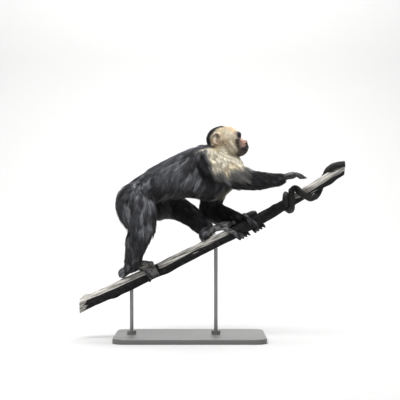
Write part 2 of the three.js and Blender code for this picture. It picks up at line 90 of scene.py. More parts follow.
# The trunk's ribs: a point on the back, the one below it on the belly, and half the width there.
RIBS = [
    ((96, 0, 448), (131, 0, 418), 24),
    ((62, 0, 465), (130, 0, 390), 42),
    ((30, 0, 468), (94, 0, 352), 50),
    ((-6, 0, 456), (56, 0, 332), 54),
    ((-40, 0, 440), (8, 0, 340), 53),
    ((-78, 0, 421), (-38, 0, 338), 53),
    ((-115, 0, 397), (-82, 0, 326), 53),
    ((-148, 0, 373), (-116, 0, 308), 45),
    ((-168, 0, 345), (-142, 0, 304), 28),
]

TAIL = [
    (-150, 4, 336), (-160, 44, 330), (-146, 98, 324), (-108, 142, 326), (-60, 158, 336),
    (-18, 144, 350), (-4, 108, 364), (-24, 88, 380), (-50, 98, 388), (-56, 120, 384),
]
TAIL_RADII = [19, 17.5, 16.5, 15.5, 14.5, 13.5, 12.5, 11.5, 10, 7.5]

BRANCH = [
    (-300, 0, 62), (-264, 0, 80), (-211, 0, 104), (-155, 0, 129), (-82, 0, 163),
    (29, 0, 218), (141, 0, 273), (226, 0, 322), (300, 0, 366), (390, 0, 424),
]
BRANCH_RADII = [17, 17.5, 16, 18, 15.5, 15, 14.5, 13.5, 13, 14]
BRANCH_ENDS = (-264.0, 370.0)

# How far the skin lies under the coat's tips, and the coat's length and tuft width, by region.
COAT = {
    "head": {"depth": 3.6, "length": 8.0, "width": 0.6},
    "neck": {"depth": 8.0, "length": 19.0, "width": 0.85},
    "trunk": {"depth": 9.0, "length": 31.0, "width": 0.9},
    "upper_arm": {"depth": 7.0, "length": 21.0, "width": 0.85},
    "forearm": {"depth": 6.0, "length": 15.0, "width": 0.75},
    "hand": {"depth": 0.6, "length": 4.5, "width": 0.5},
    "thigh": {"depth": 9.0, "length": 27.0, "width": 0.9},
    "shank": {"depth": 7.0, "length": 19.0, "width": 0.85},
    "foot": {"depth": 0.6, "length": 5.0, "width": 0.5},
    "tail": {"depth": 6.0, "length": 17.0, "width": 0.85},
}


# ---- numbers along paths and over surfaces ----

def unit(v):
    v = np.asarray(v, float)
    return v / np.maximum(np.linalg.norm(v, axis=-1, keepdims=True), 1e-9)


def step(low, high, x):
    """0 below low, 1 above high and smooth between; low may be the larger, which turns it round."""
    t = np.clip((x - low) / (high - low), 0, 1)
    return t * t * (3 - 2 * t)


def ridge(x, at, width):
    """1 where x is at the given value, falling off evenly on both sides of it."""
    return np.exp(-(((x - at) / width) ** 2))


def stretched(q, factor):
    """Points with their distance from the middle multiplied by the factor."""
    return q * np.stack([np.ones_like(factor), factor, np.ones_like(factor)], axis=1)


def ring_angles(sides):
    return np.linspace(0, 2 * math.pi, sides, endpoint=False)


def spline(points, count):
    """Points evenly in parameter on the centripetal Catmull-Rom curve through the given ones."""
    p = np.asarray(points, float)
    p = np.vstack([2 * p[0] - p[1], p, 2 * p[-1] - p[-2]])
    spans = len(p) - 3
    t = np.linspace(0, spans, count)
    i = np.minimum(t.astype(int), spans - 1)
    u = (t - i)[:, None]
    a, b, c, d = p[i], p[i + 1], p[i + 2], p[i + 3]
    gap = [np.sqrt(np.linalg.norm(q - r, axis=1, keepdims=True)) + 1e-9 for q, r in ((b, a), (c, b), (d, c))]
    m1 = ((b - a) / gap[0] - (c - a) / (gap[0] + gap[1]) + (c - b) / gap[1]) * gap[1]
    m2 = ((c - b) / gap[1] - (d - b) / (gap[1] + gap[2]) + (d - c) / gap[2]) * gap[1]
    return b + u * m1 + u**2 * (-3 * b + 3 * c - 2 * m1 - m2) + u**3 * (2 * b - 2 * c + m1 + m2)


def along(values, count):
    """Values eased from station to station, evenly in parameter."""
    t = np.linspace(0, len(values) - 1, count)
    i = np.minimum(t.astype(int), len(values) - 2)
    v = np.asarray(values, float)
    return v[i] + (v[i + 1] - v[i]) * step(0, 1, t - i)


def noise(p, size, seed=0):
    """Smooth noise from -1 to 1 with lumps of about that size."""
    q = np.asarray(p, float) / size + seed * 7.31
    cell = np.floor(q).astype(np.int64)
    f = step(0, 1, q - cell)
    total = np.zeros(len(q))
    for corner in np.ndindex(2, 2, 2):
        n = ((cell + corner) * (73856093, 19349663, 83492791)).sum(axis=1) + seed * 974711
        n = (n ^ (n >> 13)) * 1274126177 & 0x7FFFFFFF
        n = (n ^ (n >> 15)) * 668265263 & 0x7FFFFFFF
        share = np.prod(np.where(corner, f, 1 - f), axis=1)
        total += share * (n / 0x3FFFFFFF - 1)
    return total


class Branch:
    """The perch's centre line: where it is at x, and points round it."""

    line = spline(BRANCH, 400)
    radius = along(BRANCH_RADII, 400)

    @classmethod
    def at(cls, x):
        centre = np.array([np.interp(x, cls.line[:, 0], cls.line[:, k]) for k in range(3)])
        ahead = np.array([np.interp(x + 4, cls.line[:, 0], cls.line[:, k]) for k in range(3)])
        tangent = unit(ahead - centre)
        return centre, tangent, unit(np.cross(tangent, Y)), np.interp(x, cls.line[:, 0], cls.radius)

    @classmethod
    def around(cls, x, degrees, reach):
        """0 degrees is on top and 90 on the right side; reach is from the bark's surface."""
        centre, _, up, radius = cls.at(x)
        angle = math.radians(degrees)
        return centre + (math.cos(angle) * up - math.sin(angle) * Y) * (radius + reach)


# ---- meshes ----

def new_object(name, data):
    """A new object in the scene, for a mesh, a lamp or a camera."""
    made = bpy.data.objects.new(name, data)
    bpy.context.scene.collection.objects.link(made)
    return made


def make_object(name, verts, faces):
    """A mesh object from points in millimetres, placed in its mesh."""
    mesh = bpy.data.meshes.new(name)
    points = [tuple(v) for v in np.asarray(verts) * MM]
    mesh.from_pydata(points, [], [tuple(int(i) for i in f) for f in faces])
    mesh.validate()
    mesh.shade_smooth()
    return new_object(name, mesh)


def face_outwards(made):
    """Merges doubles and turns the faces of a closed shape outwards."""
    work = bmesh.new()
    work.from_mesh(made.data)
    bmesh.ops.remove_doubles(work, verts=work.verts, dist=1e-7)
    bmesh.ops.recalc_face_normals(work, faces=work.faces)
    work.to_mesh(made.data)
    work.free()


def applied(made):
    """Turns the object's modifiers into its plain mesh."""
    graph = bpy.context.evaluated_depsgraph_get()
    mesh = bpy.data.meshes.new_from_object(made.evaluated_get(graph))
    made.modifiers.clear()
    old = made.data
    made.data = mesh
    mesh.name = made.name
    bpy.data.meshes.remove(old)


def read_array(rows, key, width=1, kind=float):
    """A property of every row of a mesh, such as its points, as an array."""
    values = np.empty(len(rows) * width, dtype=kind)
    rows.foreach_get(key, values)
    return values.reshape(-1, width) if width > 1 else values


def add_values(mesh, name, kind, values):
    """Keeps a value or a vector for each point of the mesh, under a name."""
    key = {"FLOAT": "value", "FLOAT_VECTOR": "vector", "FLOAT_COLOR": "color"}[kind]
    mesh.attributes.new(name, kind, "POINT").data.foreach_set(key, np.ravel(values))


def unit_ball(shape, **detail):
    """The points and faces of a ball of radius 1, by one of the mesh tool's shapes."""
    ball = bmesh.new()
    shape(ball, radius=1, **detail)
    points = np.array([v.co[:] for v in ball.verts])
    faces = [[v.index for v in f.verts] for f in ball.faces]
    ball.free()
    return points, faces


def skin_rings(rings, first, last):
    """Vertices and faces of a closed surface over rings of points, with a pole at each end."""
    rings = [np.asarray(r) for r in rings]
    sides = len(rings[0])
    verts = np.vstack([*rings, first, last])
    top, end = len(verts) - 2, len(verts) - 1
    faces = []
    for s in range(sides):
        n = (s + 1) % sides
        faces.append((top, n, s))
        low = (len(rings) - 1) * sides
        faces.append((end, low + s, low + n))
        for r in range(len(rings) - 1):
            a, b = r * sides, (r + 1) * sides
            faces.append((a + s, a + n, b + n, b + s))
    return verts, faces


def tube(points, radii, sides=20, steps=12, reference=Y, flat=1.0, blunt=1.0, waves=None):
    """A rounded limb along a smooth path. flat squeezes it along the reference and widens it across."""
    path = spline(points, steps + 1)
    reach = along(radii, steps + 1)
    if waves is not None:
        reach = reach * waves(np.linspace(0, 1, steps + 1))
    tangent = unit(np.gradient(path, axis=0))
    across = unit(np.cross(tangent, reference))
    out = unit(np.cross(across, tangent))
    angle = ring_angles(sides)[:, None]

    def ring(i, shift, share):
        r = reach[i] * share
        centre = path[i] + tangent[i] * shift * reach[i]
        return centre + across[i] * np.cos(angle) * r / flat + out[i] * np.sin(angle) * r * flat

    caps = [(math.sin(a), math.cos(a)) for a in (1.3, 0.95, 0.5)]
    rings = [ring(0, -blunt * c, s) for c, s in caps]
    rings += [ring(i, 0, 1) for i in range(steps + 1)]
    rings += [ring(steps, blunt * c, s) for c, s in reversed(caps)]
    first = path[0] - tangent[0] * blunt * reach[0]
    last = path[-1] + tangent[-1] * blunt * reach[-1]
    return skin_rings(rings, first, last)


class Flesh:
    """Gathers closed shapes into one mesh before they are fused."""

    def __init__(self):
        self.verts, self.faces, self.count = [], [], 0

    def add(self, shape):
        verts, faces = shape
        self.verts.append(verts)
        self.faces += [tuple(i + self.count for i in f) for f in faces]
        self.count += len(verts)


# ---- head ----

def ellipsoid(p, centre, radii):
    q = p - np.asarray(centre, float)
    k0 = np.linalg.norm(q / radii, axis=1)
    k1 = np.linalg.norm(q / np.square(radii), axis=1)
    return k0 * (k0 - 1) / np.maximum(k1, 1e-9)


def segment_distance(p, a, b):
    a, b = np.asarray(a, float), np.asarray(b, float)
    t = np.clip((p - a) @ (b - a) / ((b - a) @ (b - a)), 0, 1)
    return np.linalg.norm(p - a - t[:, None] * (b - a), axis=1)


def smooth_min(a, b, blend):
    h = np.maximum(blend - np.abs(a - b), 0) / blend
    return np.minimum(a, b) - h * h * blend / 4


def smooth_max(a, b, blend):
    return -smooth_min(-a, -b, blend)


# Centre from the head's own centre, radii, and how softly each mass joins the rest; y is mirrored.
HEAD_MASSES = [
    ((-2, 0, 4), (42, 33, 33), 6),  # braincase
    ((12, 0, 8), (21, 26, 21.5), 10),  # forehead
    ((31, 10.5, 16), (9.5, 13.5, 5.5), 7),  # brow
    ((20, 18, -10), (26, 15, 24), 12),  # cheek
    ((18, 0, -21), (34, 23, 20), 14),  # jaw
    ((39, 0, -15), (20, 16, 15), 10),  # muzzle
    ((39, 0, -26.5), (13.5, 10.5, 8.5), 8),  # chin
    ((46, 0, -1), (9, 7.5, 6), 9),  # nose
]
HEAD_HOLLOWS = [((41, 14, 12), (12, 10.5, 9), 6), ((50, 0, 11), (6, 9, 8), 6)]  # sockets, bridge of the nose


def mirrored(p):
    q = np.asarray(p, float) - HEAD
    q[:, 1] = np.abs(q[:, 1])
    return q


def narrowed(q):
    """Points moved aside, so that what is shaped at them is narrower ahead of the cheeks."""
    squeeze = 1 + 0.36 * step(14, 42, q[:, 0]) * step(15, -6, q[:, 2])
    squeeze += 0.22 * step(22, 44, q[:, 0]) * step(-16, -30, q[:, 2])
    return stretched(q, squeeze)


def head_shape(q):
    d = np.full(len(q), 1e9)
    slim = narrowed(q)
    for centre, radii, blend in HEAD_MASSES:
        d = smooth_min(d, ellipsoid(slim, centre, radii), blend)
    for centre, radii, blend in HEAD_HOLLOWS:
        d = smooth_max(d, -ellipsoid(q, centre, radii), blend)
    return d


def from_eye(q):
    """Distance from an eye's centre, and how far outwards, up and ahead of it."""
    gaze = unit(EYE["gaze"])
    level = unit(np.cross(Z, gaze))
    offset = q - EYE["at"]
    return np.linalg.norm(offset, axis=1), offset @ level, offset @ np.cross(gaze, level), offset @ gaze


def eye_patch(q):
    """1 in the dark skin of the lids and round them, with painted shade of the socket under the brow, 0 off
    it.
    """
    x, z = q[:, 0] - 34.0, q[:, 2] - 12.3
    oval = ((0.77 * x - 0.64 * z) / 10.6) ** 2 + ((0.64 * x + 0.77 * z) / 7.0) ** 2
    apart = stretched(q - EYE["at"], np.where(q[:, 1] > EYE["at"][1], 0.8, 1.1))
    return step(1.2, 0.85, oval) * step(12.2, 10.2, np.linalg.norm(apart, axis=1))


def bare_face(q):
    """1 on the bare muzzle, nose and eyelids, 0 in the coat."""
    muzzle = step(31, 36, q[:, 0] - 0.12 * q[:, 2]) * step(9, 5, q[:, 2]) * step(-35, -30, q[:, 2])
    muzzle *= step(25, 19, q[:, 1] + 2.0 * noise(q, 5, 33))
    distance, _, _, _ = from_eye(q)
    eyes = np.maximum(step(10.9, 9.7, distance), eye_patch(q))
    bridge = step(35, 40, q[:, 0]) * step(19, 12, q[:, 2]) * step(0, 5, q[:, 2])
    return np.clip(np.maximum.reduce([muzzle, eyes, bridge]), 0, 1)


def head_depth(q):
    """How far the head's skin lies under its coat's tips: less towards the face."""
    bare = bare_face(q)
    coat = COAT["head"]["depth"] * (1 - 0.6 * step(-15, 28, q[:, 0]))
    return coat * (1 - bare) + 0.3 * bare


def lid_opening(q):
    """Distance to the almond between the lids, seen along the gaze: less than 0 inside."""
    _, aside, up, _ = from_eye(q)
    up = up - 0.10 * aside
    bow = (aside / LID["half_width"]) ** 2
    upper, lower = up - LID["upper"] * (1 - bow), -up - LID["lower"] * (1 - bow)
    return smooth_max(upper, lower, 1.2) / np.sqrt(1 + 1.3 * np.minimum(bow, 3))


def lid_mound(q):
    """Distance to the lids over the eyeball, thick at the almond's edge, with a crease above and below it."""
    distance, _, up, ahead = from_eye(q)
    opening = lid_opening(q)
    crease = np.where(up > 0, 0.55 * ridge(opening, 3.4, 0.75), 0.4 * ridge(opening, 2.8, 0.7))
    edge = 0.4 * ridge(opening, 0.5, 0.7)
    return distance - EYE["radius"] - LID["thick"] + (crease - edge) * step(0, 4, ahead)


def face_base(q):
    """The head's skin before its fine shapes: the masses less the coat's depth, and the lids."""
    return smooth_min(head_shape(q) + head_depth(q), lid_mound(q), 4.0)


def face_shape(q):
    """The head's skin with nose, nostrils, mouth and folds, and the lids open over the eye."""
    x, y, z = q.T
    d = face_base(q)
    d = smooth_min(d, ellipsoid(q, (49.6, 5.2, -4.6), (4.6, 3.8, 4.0)), 3.5)  # wings of the nose
    d = d + 1.1 * ridge(segment_distance(q, *NOSTRIL_LINE), 0, 1.6)
    d = d + 0.7 * ridge(y, 0, 1.3) * step(48, 52, x) * step(4, 0, z) * step(-14, -9, z)  # between nostrils
    mouth = -20.6 - 0.005 * (60 - x) ** 2
    front = step(37, 41, x)
    rise = z - mouth
    d = d + front * (1.7 * ridge(rise, 0, 0.8) - 0.9 * ridge(rise, 2.6, 1.7))  # the slit and the upper lip
    d = d - front * 0.8 * ridge(rise, -2.8, 1.8)  # the lower lip
    d = d + 1.0 * ridge(segment_distance(q, (47, 9.5, -3), (38, 15, -18)), 0, 1.8)  # fold beside the nose
    d = d + 0.6 * ridge(segment_distance(q, (38, 9, 1.5), (31, 20, 0)), 0, 1.4)  # fold under the eye
    d = d + 0.22 * np.sin(z * 2.4) * step(14, 22, z) * step(34, 28, z) * step(24, 32, x)  # brow furrows
    distance, _, _, ahead = from_eye(q)
    gap = np.maximum.reduce([lid_opening(q), EYE["radius"] - 1.8 - distance, 2.0 - ahead])
    return smooth_max(d, -gap, 0.6)


def head_ball():
    """The head's rough shape, found outwards from its heart."""
    rays, faces = unit_ball(bmesh.ops.create_icosphere, subdivisions=5)
    rays = unit(rays)
    heart = HEAD + (12, 0, -2)
    reach = np.full(len(rays), 95.0)
    for _ in range(60):
        q = mirrored(heart + rays * reach[:, None])
        reach -= 0.6 * face_base(q)
    return heart + rays * reach[:, None], faces


def ear(side):
    """A thin bowl with a rolled rim and an inner fold, its mouth facing out and ahead."""
    p, faces = unit_ball(bmesh.ops.create_uvsphere, u_segments=40, v_segments=24)
    p = p[:, [0, 2, 1]]
    faces = [f[::-1] for f in faces]
    ring = np.hypot(p[:, 0], p[:, 2])
    upper = step(-0.9, 0.2, p[:, 2] - 0.8 * p[:, 0])
    bowl = -0.8 + 0.75 * ring**2 + (0.3 + 0.6 * upper) * ridge(ring, 0.87, 0.1)
    bowl += 0.55 * upper * ridge(ring, 0.56, 0.11)
    lateral = np.where(p[:, 1] >= 0, bowl, -1.05 * np.abs(p[:, 1]) ** 0.6 - 0.1)
    q = np.stack([p[:, 0] * EAR["width"], lateral * EAR["depth"], p[:, 2] * EAR["height"]], axis=1)
    c, s = math.cos(EAR["turn"]), math.sin(EAR["turn"])
    q = q @ np.array([[c, s, 0], [-s, c, 0], [0, 0, 1]])
    c, s = math.cos(-EAR["tilt"]), math.sin(-EAR["tilt"])
    q = q @ np.array([[c, 0, -s], [0, 1, 0], [s, 0, c]])
    q = (q + EAR["at"]) * (1, side, 1) + HEAD
    return q, faces if side > 0 else [f[::-1] for f in faces]


# ---- hands and feet ----

DIGIT = {"root": 5.0, "middle": 4.2, "tip": 3.4, "raised": 8.0, "curled": 6.0}
PALM = 11.0
NAILS = []  # the tip, the way it points and the way its back faces, for each digit


def knuckles(t):
    """How thick a digit is from root to tip: most at its joints."""
    return 1 + 0.07 * np.cos(t * 3 * 2 * math.pi)


def digit(points, back, thick=1.0):
    """A finger or toe with knuckles. back is the way the back of its last joint faces."""
    radii = [DIGIT[name] * thick for name in ("root", "middle", "middle", "tip")]
    points = np.asarray(points, float)
    ahead = unit(points[-1] - points[-2])
    back = unit(back - (back @ ahead) * ahead)
    NAILS.append((points[-1] + ahead * DIGIT["tip"] * thick * 0.35, ahead, back, thick))
    return tube(points, radii, sides=14, steps=14, reference=(0.3, 0.9, 0.3), waves=knuckles)


def gripping(root, count, spread, sweep, side, angles, thick=1.0):
    """Digits that curl round the branch. side is 1 for the right side; spread and sweep run along it."""
    made = []
    for i in range(count):
        x = root + spread * i
        places = [
            (x + sweep * k / (len(angles) - 1), side * angle, DIGIT["curled"] if k else DIGIT["raised"])
            for k, angle in enumerate(angles)
        ]
        tip = places[-1]
        back = Branch.around(tip[0], tip[1], 10) - Branch.around(tip[0], tip[1], 0)
        made.append(digit([Branch.around(*place) for place in places], back, thick))
    return made


def foot_right():
    sole = [Branch.around(*place) for place in ((-147, 8, 13), (-126, 12, 17), (-102, 16, 14), (-93, 18, 10))]
    return [
        tube(sole, [9.0, 8.5, PALM, 10], flat=0.88, reference=(-0.4, -0.2, 0.9)),
        *gripping(-101, 4, 6.2, 3, 1, [20, 50, 80, 106]),
        *gripping(-112, 1, 0, 8, -1, [0, 48, 92, 118], 1.15),
    ]


def foot_left():
    sole = [Branch.around(*place) for place in ((47, 4, 12), (66, 2, 14), (88, 0, 12), (100, 0, 9))]
    return [
        tube(sole, [PALM, 8.5, PALM, 10], flat=0.88, reference=(-0.4, 0.2, 0.9)),
        *gripping(92, 4, 7.4, 18, -1, [14, 60, 108, 150]),
        *gripping(88, 1, 0, 28, 1, [10, 54, 94, 132], 1.2),
    ]


def hand_left():
    palm = [JOINT["wrist_left"] + (2, 0, 0), Branch.around(146, -26, 7), Branch.around(161, -26, 6)]
    return [
        tube(palm, [PALM, 10.5, 10], flat=0.86, reference=(-0.4, 0.3, 0.9)),
        *gripping(140, 4, 7.4, 6, -1, [42, 74, 114, 156]),
        *gripping(143, 1, 0, 12, 1, [-4, 42, 86, 122], 1.05),
    ]


def hand_right():
    """The reaching hand: the palm bends up from the wrist, the fingers arch forward and down."""
    wrist = JOINT["wrist_right"]
    palm = [wrist + (2, 0, 1), wrist + (16, 2, 8), wrist + (30, 4, 11)]
    made = [tube(palm, [PALM, PALM - 1, PALM], flat=0.78, reference=(-0.3, 0.1, 0.95))]
    for aside, reach, drop in ((-11, 46, 5.5), (-3.5, 57, 5), (4.5, 58, 6), (12, 50, 5)):
        fan = aside * 1.35
        middle = 27 + 0.42 * (reach - 27), 27 + 0.75 * (reach - 27)
        low = 14 + 0.45 * (drop - 14)
        points = [(27, aside, 11), (middle[0], fan, 14), (middle[1], fan * 1.1, low)]
        points.append((reach, fan * 1.15, drop))
        made.append(digit(wrist + points, np.array([0.7, 0, 0.7])))
    thumb = [(10, 12, 3), (18, 21, 5), (27, 25, 7), (35, 26, 7)]
    made.append(digit(wrist + thumb, np.array([0.3, 0.6, 0.7]), 1.02))
    return made


# ---- body ----

ARM = {"shoulder": 34, "upper": 35, "elbow": 26.5, "wrist": 12.5}
ARM_COAT = {
    "left": {"bulk": 0.9, "mane": (9, 0, 3), "fringe": (0, 0, -1), "fore": 21.5},
    "right": {"bulk": 1.0, "mane": (0, 0, 3), "fringe": (0, 0, -2.5), "fore": 23.0},
}
CALF_OFF_BONE = {"left": (2, 0, 6), "right": (-4, 0, 0)}
LEG = {"hip": 43, "thigh": 41, "knee": 30, "calf": 27, "shin": 21, "ankle": 17}


def trunk():
    """The trunk's rings from rib to rib, drawn in by the depth of the coat."""
    count = 40
    back = spline([r[0] for r in RIBS], count)
    belly = spline([r[1] for r in RIBS], count)
    half = np.interp(np.linspace(0, len(RIBS) - 1, count), range(len(RIBS)), [r[2] for r in RIBS])
    depth = COAT["trunk"]["depth"]
    rings = []
    for b, f, h in zip(back, belly, half):
        centre = (b + f) / 2
        up = (b - f) / 2
        size = np.linalg.norm(up)
        up = up * (size - depth) / size
        angle = ring_angles(48)[:, None]
        wide = (h - depth) * (1 - 0.1 * np.cos(angle))
        rings.append(centre + up * np.cos(angle) + Y * np.sin(angle) * wide)
    return skin_rings(rings, rings[0].mean(axis=0) + (4, 0, -2), rings[-1].mean(axis=0) + (-3, 0, -3))


def arm(side):
    shoulder, elbow, wrist = (JOINT[f"{name}_{side}"] for name in ("shoulder", "elbow", "wrist"))
    shape = ARM_COAT[side]
    bulk = shape["bulk"]
    deep, fore = COAT["upper_arm"]["depth"], COAT["forearm"]["depth"]
    upper = [shoulder, (shoulder + elbow) / 2 + shape["mane"], elbow]
    lower = [elbow, elbow + 0.42 * (wrist - elbow) + shape["fringe"], wrist]
    return [
        tube(upper, [ARM["shoulder"] * bulk - deep, ARM["upper"] * bulk - deep, ARM["elbow"] - deep]),
        tube(lower, [ARM["elbow"] * 0.93 - fore, shape["fore"] - fore, ARM["wrist"] - 2.5], blunt=0.8),
    ]


def leg(side):
    hip, knee, ankle = (JOINT[f"{name}_{side}"] for name in ("hip", "knee", "ankle"))
    deep, low = COAT["thigh"]["depth"], COAT["shank"]["depth"]
    upper = [hip, (hip + knee) / 2, knee]
    lower = [knee, knee + 0.35 * (ankle - knee) + CALF_OFF_BONE[side], knee + 0.75 * (ankle - knee), ankle]
    below = [LEG["knee"] * 0.93 - low, LEG["calf"] - low, LEG["shin"] - low, LEG["ankle"] - 5]
    return [
        tube(upper, [LEG["hip"] - deep, LEG["thigh"] - deep, LEG["knee"] - deep], flat=0.94),
        tube(lower, below, flat=0.94, blunt=0.8),
    ]


def neck():
    base = JOINT["neck"]
    depth = COAT["neck"]["depth"]
    path = [base + (-16, 0, -6), base + (12, 0, 2), HEAD + (-4, 0, -14)]
    return tube(path, [radius - depth for radius in (32, 38, 34)], flat=1.06)


# Each region's line from its root to its tip, and its radius there, for the lie and the markings.
def region_lines():
    centre = [(np.array(b) + f) / 2 for b, f, _ in RIBS]
    base, wrist = JOINT["neck"], JOINT["wrist_right"]
    hand = {
        "left": [JOINT["wrist_left"], Branch.around(160, -40, 8), Branch.around(172, -110, 6)],
        "right": [wrist, wrist + (30, 4, 11), wrist + (60, 2, 4)],
    }
    foot = {
        "left": [Branch.around(56, 4, 12), Branch.around(88, 0, 12), Branch.around(120, -90, 6)],
        "right": [Branch.around(-134, 8, 14), Branch.around(-104, 16, 12), Branch.around(-90, 95, 6)],
    }
    lines = {
        "head": ([HEAD + (40, 0, -8), HEAD + (-20, 0, 4)], [28, 33]),
        "neck": ([HEAD + (-6, 0, -14), base + (10, 0, 2), base + (-10, 0, -8)], [32, 38, 34]),
        "trunk": (centre[2:], [45, 50, 48, 47, 46, 42, 28]),
        "tail": (TAIL, TAIL_RADII),
    }
    for side in ("left", "right"):
        s, e, w = (JOINT[f"{name}_{side}"] for name in ("shoulder", "elbow", "wrist"))
        h, k, a = (JOINT[f"{name}_{side}"] for name in ("hip", "knee", "ankle"))
        lines[f"upper_arm_{side}"] = ([s, (s + e) / 2, e], [32, 33, 26])
        lines[f"forearm_{side}"] = ([e, (e + w) / 2, w], [25, 20, 12])
        lines[f"hand_{side}"] = (hand[side], [11, 13, 12])
        lines[f"thigh_{side}"] = ([h, (h + k) / 2, k], [41, 38, 30])
        heel = Branch.around(-150, 8, 12) if side == "right" else Branch.around(44, 4, 11)
        lines[f"shank_{side}"] = ([k, (k + a) / 2, a, heel], [28, 24, 16, 11])
        lines[f"foot_{side}"] = (foot[side], [11, 14, 14])
    return lines


REGIONS = region_lines()
NAMES = list(REGIONS)


def kind(name):
    return name.rsplit("_", 1)[0] if name.endswith(("left", "right")) else name


def survey(p):
    """For each point: each region's share, the way its line runs there, and how far along it lies."""
    shares, runs, places, axes = [], [], [], []
    for name in NAMES:
        points, radii = REGIONS[name]
        points = np.asarray(points, float)
        best = np.full(len(p), 1e9)
        run, place, axis = np.zeros((len(p), 3)), np.zeros(len(p)), np.zeros((len(p), 3))
        for i, (a, b) in enumerate(zip(points[:-1], points[1:])):
            t = np.clip((p - a) @ (b - a) / ((b - a) @ (b - a)), 0, 1)
            foot = a + t[:, None] * (b - a)
            reach = np.linalg.norm(p - foot, axis=1) / (radii[i] + t * (radii[i + 1] - radii[i]))
            near = reach < best
            best = np.where(near, reach, best)
            run[near] = unit(b - a)
            place[near] = (i + t[near]) / (len(points) - 1)
            axis[near] = foot[near]
        shares.append(np.exp(-4.0 * best**2))
        runs.append(run)
        places.append(place)
        axes.append(axis)
    shares = np.array(shares) + 1e-12
    return shares / shares.sum(axis=0), np.array(runs), np.array(places), np.array(axes)


def blend(shares, key):
    return sum(shares[i] * COAT[kind(name)][key] for i, name in enumerate(NAMES))


def share_of(shares, *kinds):
    return sum(shares[i] for i, name in enumerate(NAMES) if kind(name) in kinds)


def lie_of_coat(p, normals, shares, runs):
    """The way the coat lies: back from the face, along the trunk and down its sides, along limbs and tail."""
    muzzle = HEAD + (62, 0, 4)
    from_face = unit(p - muzzle)
    lie = np.zeros_like(p)
    shares = shares**0.6
    for i, name in enumerate(NAMES):
        part = kind(name)
        way = runs[i]
        if part in ("head", "neck"):
            way = unit(from_face - np.outer(1.3 * step(0.1, -0.9, normals[:, 0]), Z))
        elif part == "trunk":
            way = unit(runs[i] - np.outer(1.5 * np.abs(normals[:, 1]) ** 1.3 + 0.12, Z))
        elif part in ("upper_arm", "thigh"):
            way = unit(runs[i] + (-0.25, 0, -0.35))
        elif part in ("forearm", "shank"):
            way = unit(runs[i] + (0, 0, -0.18))
        lie += shares[i][:, None] * way
    lie -= (lie * normals).sum(axis=1, keepdims=True) * normals
    return unit(lie)


# ---- markings, the same for skin and coat ----

CREAM = np.array([0.84, 0.72, 0.50])
PALE = np.array([0.92, 0.87, 0.74])
BLACK = np.array([0.0135, 0.0138, 0.016])
# the grey of the painted sheen on the black coat
SHEEN_GREY = np.array([0.165, 0.168, 0.184])
SHEEN = np.array([0.30, 0.306, 0.335])
SMOKE = np.array([0.23, 0.226, 0.218])
SHADED_CREAM = np.array([0.15, 0.142, 0.11])
PINK = np.array([0.40, 0.23, 0.18])
LIP = np.array([0.022, 0.017, 0.015])
MOUTH = np.array([0.042, 0.032, 0.026])
PALE_LIP = np.array([0.36, 0.285, 0.245])
UMBER = np.array([0.105, 0.078, 0.062])
LID_AND_SOCKET_SHADE = np.array([0.012, 0.011, 0.012])
TAN = np.array([0.62, 0.40, 0.225])
CHEEK_TAN_AND_SHADE = np.array([0.50, 0.415, 0.285])
NOSTRIL = np.array([0.045, 0.016, 0.014])
EAR_PINK = np.array([0.56, 0.45, 0.35])
EAR_ROSE = np.array([0.46, 0.255, 0.185])
DARK_SKIN = np.array([0.016, 0.0158, 0.017])
# the lighter skin of wear, and of painted light on hands and feet
WORN_AND_LIT_SKIN = np.array([0.070, 0.069, 0.071])
SOLE_HIGHLIGHT = np.array([0.30, 0.285, 0.25])

MANTLE_EDGE = {"x": [30, 40, 53, 84, 139, 160], "z": [470, 441, 415, 407, 406, 412]}  # the cream's lower edge


def mix(a, b, t):
    return a + (b - a) * np.asarray(t)[..., None]


def cream_share(p, normals, shares):
    """How far a point is in the cream of mantle and face: 1 inside, about 0.45 in the grey band, else 0."""
    x, y, z = p.T
    wobble = 7 * noise(p, 16, 3) + 4 * noise(p, 6, 4)
    over = z - np.interp(x, MANTLE_EDGE["x"], MANTLE_EDGE["z"]) + wobble
    band = 0.45 * step(-34, -10, over) + 0.55 * step(-9, 7, over)
    behind = step(-9, 11, x - (21 + (458 - z) * 0.38) + wobble)
    breast = 0.75 * step(0.2, 0.8, normals[:, 0]) * step(62, 84, x) * step(338, 352, z)
    spine = step(15, 9, np.abs(y) + 0.3 * wobble) * step(0.1, 0.4, normals[:, 2]) * step(76, 62, x)
    body = np.maximum(band * behind, breast) * (1 - spine)
    arms = share_of(shares, "upper_arm")
    arm = np.maximum(band * behind * step(146, 132, x + wobble), 0.9 * breast * (y > 0))
    fore = share_of(shares, "forearm", "hand")
    share = np.clip(1 - arms - fore, 0, 1) * body + arms * arm
    share += shares[NAMES.index("forearm_right")] * band * step(142, 124, x + wobble)
    q = mirrored(p)
    angle = np.degrees(np.arctan2(q[:, 2] + 4, q[:, 0] - 2))
    back_of_head = np.where(angle < -90, angle + 360, angle)
    half = 13.5 + 5 * step(95, 150, back_of_head)
    cap = step(2.5, -2.5, q[:, 1] - half + 1.5 * noise(p, 7, 9)) * step(87, 95, back_of_head)
    in_head = share_of(shares, "head") + 0.5 * share_of(shares, "neck")
    return np.clip(share, 0, 1) * (1 - cap * step(0.2, 0.45, in_head))


def soft_spot(q, centre, radii):
    return np.exp(-np.sum(((q - np.array(centre)) / radii) ** 2, axis=1))


